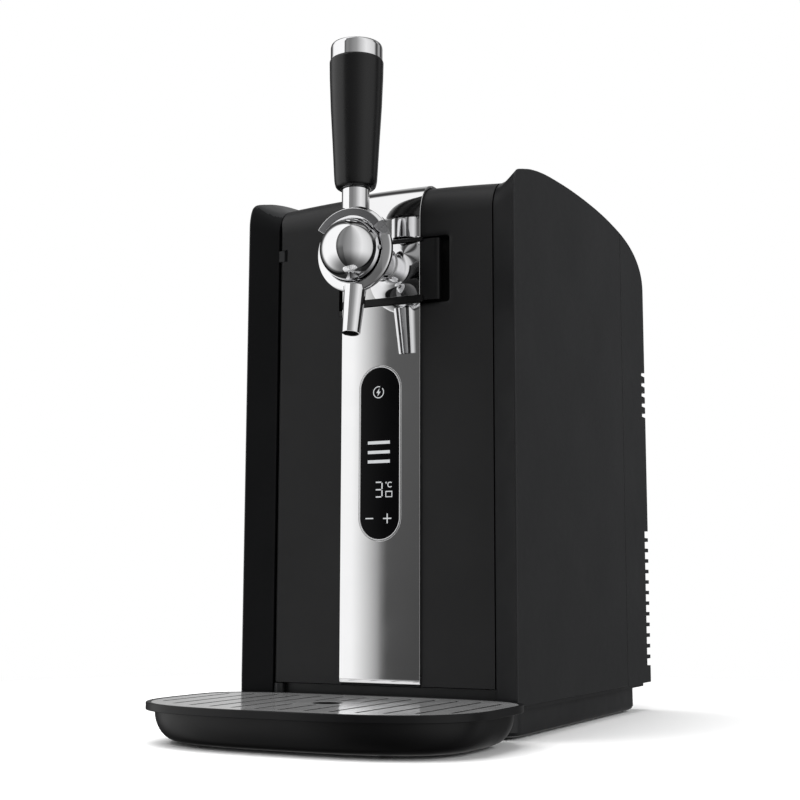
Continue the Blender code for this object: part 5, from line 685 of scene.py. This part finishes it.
def strip_pieces():
    lower = [(STRIP_FRONT, 367.2 * MM), (STRIP_FRONT, 46.0 * MM),
             (STRIP_FRONT + 0.35 * MM, 43.4 * MM), (STRIP_FRONT + 1.6 * MM, 41.1 * MM),
             (STRIP_FRONT + 3.4 * MM, 39.9 * MM),
             (16.3 * MM, 39.5 * MM), (16.3 * MM, 41.6 * MM), (STRIP_BACK + 0.8 * MM, 43.2 * MM),
             (STRIP_BACK, 45.7 * MM), (STRIP_BACK, 367.2 * MM)]
    shape = prism(depth_outline(lower), "X", -STRIP_X, STRIP_X)
    add("strip_lower_piece", shape, STRIP, "front_door", ("strip_lower",),
        [("DIFFERENCE", prism(pill(-GAP), "Y", y_of(9 * MM), y_of(15 * MM)))], bevel=0.45 * MM)
    upper = [(STRIP_FRONT, 424.8 * MM)] + door_arc(LIP_RADIUS + 2.4 * MM, DOOR_TOP_DEPTH)
    upper += door_arc(LIP_RADIUS + GAP, DOOR_TOP_DEPTH)[::-1] + [(STRIP_BACK, 424.8 * MM)]
    shape = crowned(upper, STRIP_X, extra=0.4 * MM)
    add("strip_upper_piece", shape, STRIP, "front_door", ("strip_upper",),
        bevel=0.4 * MM)


def display_pieces():
    front = 10.6 * MM
    loops = []
    section = softened([(0.0, STRIP_BACK), (0.0, front), (1.1 * MM, front),
                        (1.1 * MM, STRIP_BACK)], 0.35 * MM)
    for inset, depth in section:
        loops.append([Vector((x, y_of(depth), z)) for x, z in pill(inset)])
    add("display_rim", skin(loops, ring=True), CHROME, "front_door",
        ("display_bezel",))
    glass = prism(pill(1.4 * MM), "Y", y_of(STRIP_FRONT + 0.02 * MM), y_of(STRIP_BACK))
    add("display_glass", glass, GLASS, "front_door", ("display_window",),
        bevel=0.25 * MM)


def bar(x0, z0, x1, z1):
    """Flat lit bar on the display, between two corners."""
    return box((x0 * MM, STRIP_FRONT - 0.04 * MM, z0 * MM),
               (x1 * MM, STRIP_FRONT + 0.1 * MM, z1 * MM))


def stroke(points, width):
    """Flat lit line through points of x and z."""
    shapes = []
    half = 0.5 * width * MM
    for (xa, za), (xb, zb) in zip(points, points[1:]):
        a, b = Vector((xa * MM, za * MM)), Vector((xb * MM, zb * MM))
        along = (b - a).normalized()
        across = Vector((-along.y, along.x)) * half
        a, b = a - along * half * 0.5, b + along * half * 0.5
        outline = [(p.x, p.y) for p in (a - across, b - across, b + across, a + across)]
        shapes.append(prism(outline, "Y", y_of(STRIP_FRONT - 0.04 * MM),
                            y_of(STRIP_FRONT + 0.1 * MM)))
    return shapes


def arc(cx, cz, radius, first, last, steps=20):
    return [(cx + radius * math.cos(math.radians(first + (last - first) * s / steps)),
             cz + radius * math.sin(math.radians(first + (last - first) * s / steps)))
            for s in range(steps + 1)]


def display_symbols():
    shapes = stroke(arc(-1.6, 290.9, 4.9, 75, 400, 28), 0.75)
    bolt = [(-0.7, 294.4), (-3.7, 290.3), (-1.9, 290.3), (-2.6, 287.3), (0.5, 291.4),
            (-1.3, 291.4)]
    outline = [(x * MM, z * MM) for x, z in bolt]
    shapes.append(prism(outline, "Y", y_of(STRIP_FRONT - 0.04 * MM),
                        y_of(STRIP_FRONT + 0.1 * MM)))
    for z in (246.9, 238.6, 230.45):
        shapes.append(bar(-11.7, z - 1.35, 9.6, z + 1.35))
    shapes += stroke([(-3.5, 212.5), (1.2, 212.5)], 1.1)
    shapes += stroke([(2.2, 211.6), (2.2, 206.9)], 1.1)
    shapes += stroke([(-3.5, 206.1), (1.2, 206.1)], 1.1)
    shapes += stroke([(2.2, 205.3), (2.2, 200.7)], 1.1)
    shapes += stroke([(-3.5, 199.9), (1.2, 199.9)], 1.1)
    shapes += stroke(arc(6.2, 212.0, 0.55, 0, 360, 10), 0.4)
    shapes += stroke(arc(9.9, 210.2, 2.1, 50, 310, 16), 0.75)
    shapes += stroke([(5.9, 204.4), (11.7, 204.4)], 0.9)
    shapes += stroke([(5.9, 199.8), (11.7, 199.8)], 0.7)
    shapes += stroke([(5.9, 204.4), (5.9, 199.8)], 0.7)
    shapes += stroke([(11.7, 204.4), (11.7, 199.8)], 0.7)
    shapes += stroke([(-13.4, 181.5), (-6.4, 181.5)], 1.0)
    shapes += stroke([(3.6, 181.3), (11.0, 181.3)], 1.0)
    shapes += stroke([(7.3, 177.4), (7.3, 185.2)], 1.0)
    add("display_symbols", combined(shapes), SYMBOL, "front_door")


# Tap gate
def gate_pieces():
    front, rear = 13.2 * MM, 15.6 * MM
    left = -STRIP_X + GAP
    shape = box((-35.3 * MM, front, 368.5 * MM), (41.2 * MM, rear, 423.5 * MM))
    bars = combined([box((left, 9.9 * MM, 367.5 * MM), (40.9 * MM, rear, 373.5 * MM)),
                     box((left, 9.9 * MM, 421.5 * MM), (40.9 * MM, rear, 424.5 * MM))])
    grip = [(38.5, 15.6), (38.5, 11.4), (51.0, 11.4), (53.0, 11.6), (54.6, 12.3), (55.6, 13.3),
            (56.0, 14.6), (56.0, 17.0), (53.9, 17.0), (53.5, 15.6), (52.4, 14.5), (50.4, 14.0),
            (41.5, 14.0), (41.5, 15.6)]
    outline = [(x * MM, y_of(d * MM)) for x, d in grip]
    low, high = place(-35 * MM, 16.4 * MM, 368.25 * MM), place(-35 * MM, 16.4 * MM, 423.75 * MM)
    over = Vector((0, 0, 2 * MM))
    cuts = [("UNION", bars), ("UNION", prism(outline, "Z", 369 * MM, 423 * MM)),
            ("UNION", rod(2.8 * MM, low, high)),
            ("DIFFERENCE", rod(1.8 * MM, low - over, high + over)),
            ("DIFFERENCE", rod(10.3 * MM, place(0, 11 * MM, TAP_Z), place(0, 18 * MM, TAP_Z)))]
    add("gate_body", shape, TRAY, "tap_gate", ("gate_frame",), cuts,
        bevel=0.35 * MM)
    plate = box((left, STRIP_FRONT, 373.8 * MM), (STRIP_X - GAP, 12.9 * MM, 421.2 * MM))
    hole = rod(10.3 * MM, place(0, 8 * MM, TAP_Z), place(0, 15 * MM, TAP_Z))
    add("gate_front", plate, STRIP, "tap_gate", ("gate_plate",),
        [("DIFFERENCE", hole)], bevel=0.3 * MM)


def cup_profile():
    points = [(0.0, -3.0), (27.6, -3.0), (28.2, -3.5), (28.8, -3.4), (33.6, -2.2), (34.7, -1.7),
              (35.3, -0.8), (35.3, 0.0)]
    for step in range(1, 25):
        share = step / 24
        points.append((35.3 - 22.3 * 0.5 * (1.0 - math.cos(math.pi * share)),
                       0.9 + 26.1 * share))
    points += [(13.0, 46.2), (15.6, 46.2), (15.6, 48.6), (10.0, 48.6), (10.0, 56.5), (0.0, 56.5)]
    return [(r * MM, a * MM) for r, a in points]


SPOUT_TOP = place(0.0, -36.5 * MM, 374.3 * MM)
SPOUT_END = place(0.0, -43.5 * MM, 333.5 * MM)
SPOUT_DOWN = (SPOUT_END - SPOUT_TOP).normalized()


def tap_pieces():
    foot = place(0.0, TAP_D, TAP_Z)
    ball = place(0.0, BALL_D, TAP_Z)
    reach = 37.3 * MM
    cuts = [("DIFFERENCE", sphere(SEAT_RADIUS, ball, 96, 48)),
            ("DIFFERENCE", box((-reach, TAP_D - 11.5 * MM, TAP_Z + 11.0 * MM),
                               (reach, TAP_D + 0.6 * MM, TAP_Z + reach))),
            ("DIFFERENCE", rod(2.1 * MM, ball - Vector((27.7 * MM, 0, 0)),
                               ball + Vector((27.7 * MM, 0, 0)), 32)),
            ("DIFFERENCE", rod(10.0 * MM, SPOUT_TOP - SPOUT_DOWN * GAP, SPOUT_END, 80)),
            ("DIFFERENCE", rod(4.9 * MM, SPOUT_TOP - SPOUT_DOWN * 9.5 * MM,
                               SPOUT_TOP + SPOUT_DOWN * 2 * MM, 48))]
    add("tap_cup_piece", lathe(cup_profile(), foot, (0, 1, 0), 112), CHROME, "tap_gate",
        ("tap_cup",), cuts, bevel=0.3 * MM, sharp=38.0)
    length = (SPOUT_END - SPOUT_TOP).length
    profile = [(5.0 * MM, 0.0), (9.7 * MM, 0.0), (7.75 * MM, length - 0.6 * MM),
               (7.5 * MM, length), (6.6 * MM, length), (6.4 * MM, length - 6 * MM),
               (5.0 * MM, length - 7 * MM)]
    spout = add("spout_piece", lathe(profile, SPOUT_TOP, SPOUT_DOWN, 96, ring=True), CHROME,
                "tap_gate", ("tap_spout",))
    # The bore inside the chrome spout gets the black finish: painted shade in the bore
    spout.data.materials.append(BLACK_AND_SHADE)
    for face in spout.data.polygons:
        centre = face.center - SPOUT_TOP
        along = centre.dot(SPOUT_DOWN)
        if (centre - SPOUT_DOWN * along).length < 6.55 * MM:
            face.material_index = 1


def lever_pieces():
    ball = place(0.0, BALL_D - BALL_LEAD, TAP_Z)
    add("ball_piece", sphere(BALL_RADIUS, ball, 128, 64), CHROME, "tap_lever",
        ("tap_ball",))
    section = softened([(26.9 * MM, -3 * MM), (26.9 * MM, -9.4 * MM), (28.5 * MM, -11.0 * MM),
                        (35.2 * MM, -11.0 * MM), (37.7 * MM, -8.4 * MM), (37.7 * MM, 0.3 * MM),
                        (26.9 * MM, 0.3 * MM), (26.9 * MM, -3 * MM)], 0.5 * MM)[:-1]
    loops = []
    for step in range(65):
        angle = math.radians(36.0 + 111.0 * step / 64)
        loops.append([place(r * math.cos(angle), TAP_D + a, TAP_Z + r * math.sin(angle))
                      for r, a in section])
    yoke = add("yoke_piece", skin(loops), CHROME, "tap_lever", ("lever_yoke",),
               bevel=0.25 * MM, sharp=40.0)
    # The yoke's front-facing faces get the darker chrome: painted dark reflection
    refaced(yoke, DARK_REFLECTION_CHROME, lambda face: face.normal.y < -0.97)
    foot = place(0, STEM_D, 438.0 * MM)
    stem = [(0.0, 0.0), (11.8 * MM, 0.0), (11.8 * MM, 36.0 * MM), (0.0, 36.0 * MM)]
    add("stem_piece", lathe(softened(stem, 0.5 * MM), foot, (0, 0, 1)), CHROME, "tap_lever",
        ("lever_stem",))
    low, high = 459.4 * MM, 573.6 * MM
    socket = 474.3 * MM - low
    grip = [(0.0, socket), (12.1 * MM, socket), (12.1 * MM, 0.0), (14.6 * MM, 0.0),
            (17.1 * MM, 1.8 * MM), (18.3 * MM, 6.6 * MM), (18.75 * MM, 14.0 * MM),
            (20.1 * MM, 39.0 * MM), (22.05 * MM, 72.0 * MM), (23.1 * MM, 98.0 * MM),
            (23.4 * MM, high - low - 1.2 * MM), (22.9 * MM, high - low), (0.0, high - low)]
    add("grip_piece", lathe(softened(grip, 3.0 * MM, 6), place(0, STEM_D, low), (0, 0, 1)),
        GRIP, "tap_lever", ("handle_grip",))
    height = 589.5 * MM - high - GAP
    cap = [(0.0, 0.0), (22.5 * MM, 0.0), (22.5 * MM, height - 4.6 * MM),
           (22.1 * MM, height - 2.6 * MM), (21.2 * MM, height - 1.3 * MM),
           (19.5 * MM, height - 0.7 * MM), (11.0 * MM, height - 0.1 * MM), (0.0, height)]
    add("cap_piece", lathe(softened(cap, 0.5 * MM), place(0, STEM_D, high + GAP), (0, 0, 1)),
        CHROME, "tap_lever", ("handle_cap",))


# Tray
TRAY_D = -69.0 * MM
TRAY_HALF = 147.3 * MM
TRAY_FRONT = 102.5 * MM
TRAY_REAR = 78.0 * MM
TRAY_FRONT_BULGE = 3.0
TRAY_REAR_BULGE = 4.4
PLATE_INSET = 3.4 * MM
PLATE_TOP = 32.2 * MM
SLOT_PITCH = 21.0 * MM
SLOT_HALF = 1.6 * MM
SLOT_MARGIN = 16.0 * MM
HOLE_D = -78.0 * MM
HOLE_RADIUS = 12.0 * MM


def tray_outline(inset, z, steps=64):
    half = TRAY_HALF - inset
    front = TRAY_FRONT - inset
    rear = TRAY_REAR - inset
    points = []
    for step in range(4 * steps):
        angle = QUARTER_TURN * step / steps
        across, along = math.cos(angle), math.sin(angle)
        bulge = TRAY_REAR_BULGE if along >= 0.0 else TRAY_FRONT_BULGE
        extent = rear if along >= 0.0 else front
        power = 2.0 / bulge
        x = math.copysign(half * abs(across) ** power, across)
        d = TRAY_D + math.copysign(extent * abs(along) ** power, along)
        points.append(place(x, d, z))
    return points


def tray_pieces():
    top, low = 32.5 * MM, 26.5 * MM
    bowl_top, bottom = 26.2 * MM, 2.0 * MM
    rise = bowl_top - bottom
    loops = []
    for step in range(15):
        angle = QUARTER_TURN * step / 14
        loops.append(tray_outline(6.5 * MM + 17 * MM * (1 - math.sin(angle)),
                                  bottom + rise * (1 - math.cos(angle))))
    for step in range(14, -1, -1):
        angle = QUARTER_TURN * step / 14
        loops.append(tray_outline(8.9 * MM + 17 * MM * (1 - math.sin(angle)),
                                  bottom + 2.4 * MM + (rise - 2.4 * MM) * (1 - math.cos(angle))))
    add("bowl_piece", skin(loops), TRAY, "drip_tray", ("tray_bowl",))
    section = softened([(4 * MM, low), (0.0, low), (0.0, top), (3.4 * MM, top),
                        (3.4 * MM, top - 1.6 * MM), (9.8 * MM, top - 1.6 * MM), (9.8 * MM, low),
                        (4 * MM, low)], 0.7 * MM, 5)[:-1]
    loops = [tray_outline(inset, z) for inset, z in section]
    add("rim_piece", skin(loops, ring=True), TRAY, "drip_tray", ("tray_rim",))


def slot_spans(x):
    """Front and rear ends, as depths, of the slots at this x."""
    reach = abs(x) / (TRAY_HALF - PLATE_INSET)
    front_share = (1.0 - reach ** TRAY_FRONT_BULGE) ** (1.0 / TRAY_FRONT_BULGE)
    rear_share = (1.0 - reach ** TRAY_REAR_BULGE) ** (1.0 / TRAY_REAR_BULGE)
    front = TRAY_D - (TRAY_FRONT - PLATE_INSET) * front_share + SLOT_MARGIN
    rear = TRAY_D + (TRAY_REAR - PLATE_INSET) * rear_share - SLOT_MARGIN
    if abs(x) < 31.5 * MM:
        return [(front, -95 * MM), (-61 * MM, rear)]
    return [(front, rear)]


def grille_piece():
    top = PLATE_TOP
    loops = [tray_outline(3.7 * MM, top - 1.0 * MM), tray_outline(3.7 * MM, top - 0.25 * MM),
             tray_outline(3.95 * MM, top)]
    slots = []
    for index in range(-6, 7):
        x = index * SLOT_PITCH
        for front, rear in slot_spans(x):
            outline = rounded((x, y_of(0.5 * (front + rear))), (SLOT_HALF, 0.5 * (rear - front)),
                              SLOT_HALF, 5)
            slots.append(prism(outline, "Z", top - 3 * MM, top + 2 * MM))
    hole = rod(HOLE_RADIUS, place(0, HOLE_D, top - 3 * MM), place(0, HOLE_D, top + 2 * MM), 64)
    slots.append(hole)
    plate = add("grille_plate", skin(loops), GRILLE, "grille", ("tray_grille",),
                [("DIFFERENCE", combined(slots))], bevel=0.15 * MM)
    edge = tray_outline(4.6 * MM, 0.0)
    near = min(p.y for p in edge) + 11 * MM
    far = max(p.y for p in edge) - 11 * MM
    # The slot walls get the black finish: painted shade in the slots
    refaced(plate, BLACK_AND_SHADE, lambda face: abs(face.normal.z) < 0.3 and abs(face.center.x) < 132 * MM
            and near < face.center.y < far)


# CAD nodes that keep their shape
NODE_FINISH = {
    "base_pan": SATIN, "front_sill": SATIN, "gate_pocket": BLACK_AND_SHADE, "keg_seat": SATIN,
    "fan_frame": SATIN, "fan_rotor": SATIN, "air_pump": SATIN, "air_coupling": SATIN,
    "mains_inlet": BLACK_AND_SHADE, "hinge_pin_lower": DARK_STEEL, "hinge_pin_upper": DARK_STEEL,
    "gate_pin": DARK_STEEL, "ball_axle": STEEL, "latch_hook": STEEL, "latch_pin": STEEL,
    "latch_spring": STEEL, "door_striker": STEEL, "power_supply": STEEL,
    "cold_plate": ALUMINIUM, "heat_sink": ALUMINIUM, "foot_front_left": RUBBER,
    "foot_front_right": RUBBER, "foot_rear_left": RUBBER, "foot_rear_right": RUBBER,
    "tray_foot_front_left": RUBBER, "tray_foot_front_right": RUBBER,
    "tray_foot_rear_left": RUBBER, "tray_foot_rear_right": RUBBER, "door_seal": RUBBER,
    "pinch_plunger": RUBBER, "cabinet": LINER, "door_liner": LINER,
    "display_board": BOARD, "control_board": BOARD, "thermoelectric_module": CERAMIC,
    "air_hose": HOSE}


# Stage, light and camera
FLOOR_HALF = 6.0
FADE_START = 0.45
FADE_END = 0.85


def build_floor():
    mesh = bmesh.new()
    size = FLOOR_HALF
    corners = [mesh.verts.new((x, y, 0.0)) for x, y in
               ((-size, -size), (size, -size), (size, size), (-size, size))]
    mesh.faces.new(corners)
    data = bpy.data.meshes.new("floor")
    mesh.to_mesh(data)
    mesh.free()
    floor = bpy.data.objects.new("floor", data)
    bpy.context.scene.collection.objects.link(floor)
    made, tree, bsdf = shader("floor_white")
    where = node(tree, "ShaderNodeTexCoord").outputs["Object"]
    tree.links.new(tinted(tree, noise(tree, where, 3.0), (0.91, 0.91, 0.91), (0.92, 0.92, 0.92)),
                   bsdf.inputs["Base Color"])
    bsdf.inputs["Roughness"].default_value = 1.0
    bsdf.inputs["Specular IOR Level"].default_value = 0.0
    spread_out = node(tree, "ShaderNodeVectorMath", operation="LENGTH")
    tree.links.new(where, spread_out.inputs[0])
    fade = node(tree, "ShaderNodeMapRange", interpolation_type="SMOOTHSTEP")
    fade.inputs["From Min"].default_value = FADE_START
    fade.inputs["From Max"].default_value = FADE_END
    tree.links.new(spread_out.outputs["Value"], fade.inputs["Value"])
    bright = node(tree, "ShaderNodeEmission")
    blend = node(tree, "ShaderNodeMixShader")
    tree.links.new(fade.outputs["Result"], blend.inputs[0])
    tree.links.new(bsdf.outputs[0], blend.inputs[1])
    tree.links.new(bright.outputs[0], blend.inputs[2])
    tree.links.new(blend.outputs[0], tree.nodes["Material Output"].inputs["Surface"])
    floor.data.materials.append(made)
    floor.visible_glossy = False
    floor.visible_diffuse = False


# Brightness of the surroundings by azimuth in degrees: 0 is the front, 90 the viewer's left
SURROUND = ((-180, 0.30), (-168, 0.05), (-157, 0.05), (-148, 0.36), (-138, 0.34), (-131, 0.05),
            (-122, 0.10), (-112, 0.66), (-90, 0.78), (-70, 0.86), (-45, 0.58), (-28, 0.34),
            (-12, 0.27), (2, 0.20), (17, 0.24), (23, 0.13), (25.6, 0.095), (26.8, 0.11),
            (27.3, 1.06), (84, 1.06), (96, 1.0), (108, 0.14), (124, 0.03), (138, 0.10),
            (150, 0.55), (180, 0.30))
# Azimuth where the bright panel starts; in front of it the light falls off downward
SPLIT = 27.0


def build_world():
    world = bpy.data.worlds.new("studio")
    bpy.context.scene.world = world
    world.use_nodes = True
    tree = world.node_tree
    back = tree.nodes["Background"]
    where = node(tree, "ShaderNodeTexCoord").outputs["Generated"]
    parts = node(tree, "ShaderNodeSeparateXYZ")
    tree.links.new(where, parts.inputs[0])

    def math_node(operation, a, b=None):
        made = node(tree, "ShaderNodeMath", operation=operation)
        for slot_index, value in enumerate((a, b)):
            if value is None:
                continue
            if isinstance(value, (int, float)):
                made.inputs[slot_index].default_value = value
            else:
                tree.links.new(value, made.inputs[slot_index])
        return made.outputs[0]

    minus_x = math_node("MULTIPLY", parts.outputs[0], -1.0)
    minus_y = math_node("MULTIPLY", parts.outputs[1], -1.0)
    azimuth = math_node("ARCTAN2", minus_x, minus_y)
    share = math_node("ADD", math_node("DIVIDE", azimuth, FULL_TURN), 0.5)
    ramp = node(tree, "ShaderNodeValToRGB")
    ramp.color_ramp.interpolation = "LINEAR"
    elements = ramp.color_ramp.elements
    for index, (angle, level) in enumerate(SURROUND):
        position = (angle + 180.0) / 360.0
        if index < 2:
            element = elements[index]
            element.position = position
        else:
            element = elements.new(position)
        element.color = (level, level, level, 1)
    tree.links.new(share, ramp.inputs[0])
    up = node(tree, "ShaderNodeMapRange", interpolation_type="SMOOTHSTEP")
    up.inputs["From Min"].default_value = -0.95
    up.inputs["From Max"].default_value = -0.15
    up.inputs["To Min"].default_value = 0.15
    up.inputs["To Max"].default_value = 1.0
    tree.links.new(parts.outputs[2], up.inputs["Value"])
    level = math_node("MULTIPLY", ramp.outputs[0], up.outputs["Result"])
    lift = node(tree, "ShaderNodeMapRange")
    lift.inputs["From Min"].default_value = -0.10
    lift.inputs["From Max"].default_value = 0.14
    lift.inputs["To Min"].default_value = 0.42
    lift.inputs["To Max"].default_value = 0.0
    tree.links.new(parts.outputs[2], lift.inputs["Value"])
    grey = math_node("LESS_THAN", azimuth, math.radians(SPLIT))
    near = math_node("GREATER_THAN", azimuth, 0.0)
    fall = math_node("MULTIPLY", math_node("MULTIPLY", grey, near), lift.outputs["Result"])
    level = math_node("MULTIPLY", level, math_node("SUBTRACT", 1.0, fall))
    rays = node(tree, "ShaderNodeLightPath")
    mix = node(tree, "ShaderNodeMix", data_type="RGBA")
    tree.links.new(rays.outputs["Is Camera Ray"], mix.inputs["Factor"])
    tree.links.new(level, mix.inputs[6])
    mix.inputs[7].default_value = (1, 1, 1, 1)
    tree.links.new(mix.outputs[2], back.inputs["Color"])
    back.inputs["Strength"].default_value = 1.0


def area(name, where, target, size, power, glossy):
    data = bpy.data.lights.new(name, "AREA")
    data.shape = "RECTANGLE"
    data.size, data.size_y = size
    data.energy = power
    light = bpy.data.objects.new(name, data)
    light.location = where
    light.rotation_mode = "QUATERNION"
    light.rotation_quaternion = (Vector(where) - Vector(target)).to_track_quat("Z", "Y")
    light.visible_glossy = glossy
    light.visible_camera = False
    bpy.context.scene.collection.objects.link(light)


def build_lights():
    area("overhead", (-0.7, -0.3, 2.5), (0.0, 0.0, 0.1), (3.0, 3.0), 112.0, False)
    area("rear_fill", (0.68, 0.26, 0.42), (0.13, 0.16, 0.30), (0.45, 0.45), 2.4, False)


# Azimuth, pitch and roll in degrees, focal length and frame width in pixels
VIEW_ANGLES = (26.18, 7.93, 0.16)
FOCAL_PIXELS = 1394.65
FRAME_PIXELS = 800.0
CAMERA_PLACE = place(544.63 * MM, -1057.8 * MM, 117.0 * MM)


def build_camera():
    data = bpy.data.cameras.new("camera")
    data.sensor_width = 36.0
    data.lens = FOCAL_PIXELS * data.sensor_width / FRAME_PIXELS
    data.clip_start, data.clip_end = 0.05, 50.0
    camera = bpy.data.objects.new("camera", data)
    azimuth, pitch, roll = (math.radians(a) for a in VIEW_ANGLES)
    forward = Vector((-math.sin(azimuth) * math.cos(pitch), math.cos(azimuth) * math.cos(pitch),
                      math.sin(pitch)))
    right = Vector((math.cos(azimuth), math.sin(azimuth), 0.0))
    up = right.cross(forward)
    across = math.cos(roll) * right + math.sin(roll) * up
    upward = -math.sin(roll) * right + math.cos(roll) * up
    turn = Matrix((across, upward, -forward)).transposed().to_4x4()
    camera.matrix_world = Matrix.Translation(CAMERA_PLACE) @ turn
    bpy.context.scene.collection.objects.link(camera)
    bpy.context.scene.camera = camera


side_shell("side_shell_left", -1, "side_panel_left")
side_shell("side_shell_right", 1, "side_panel_right")
rear_shell()
roof_pieces()
door_piece()
strip_pieces()
display_pieces()
display_symbols()
gate_pieces()
tap_pieces()
lever_pieces()
tray_pieces()
grille_piece()
for node_name, finish in NODE_FINISH.items():
    dress(node_name, finish)
build_floor()
build_world()
build_lights()
build_camera()
bpy.context.scene.view_settings.view_transform = "Standard"
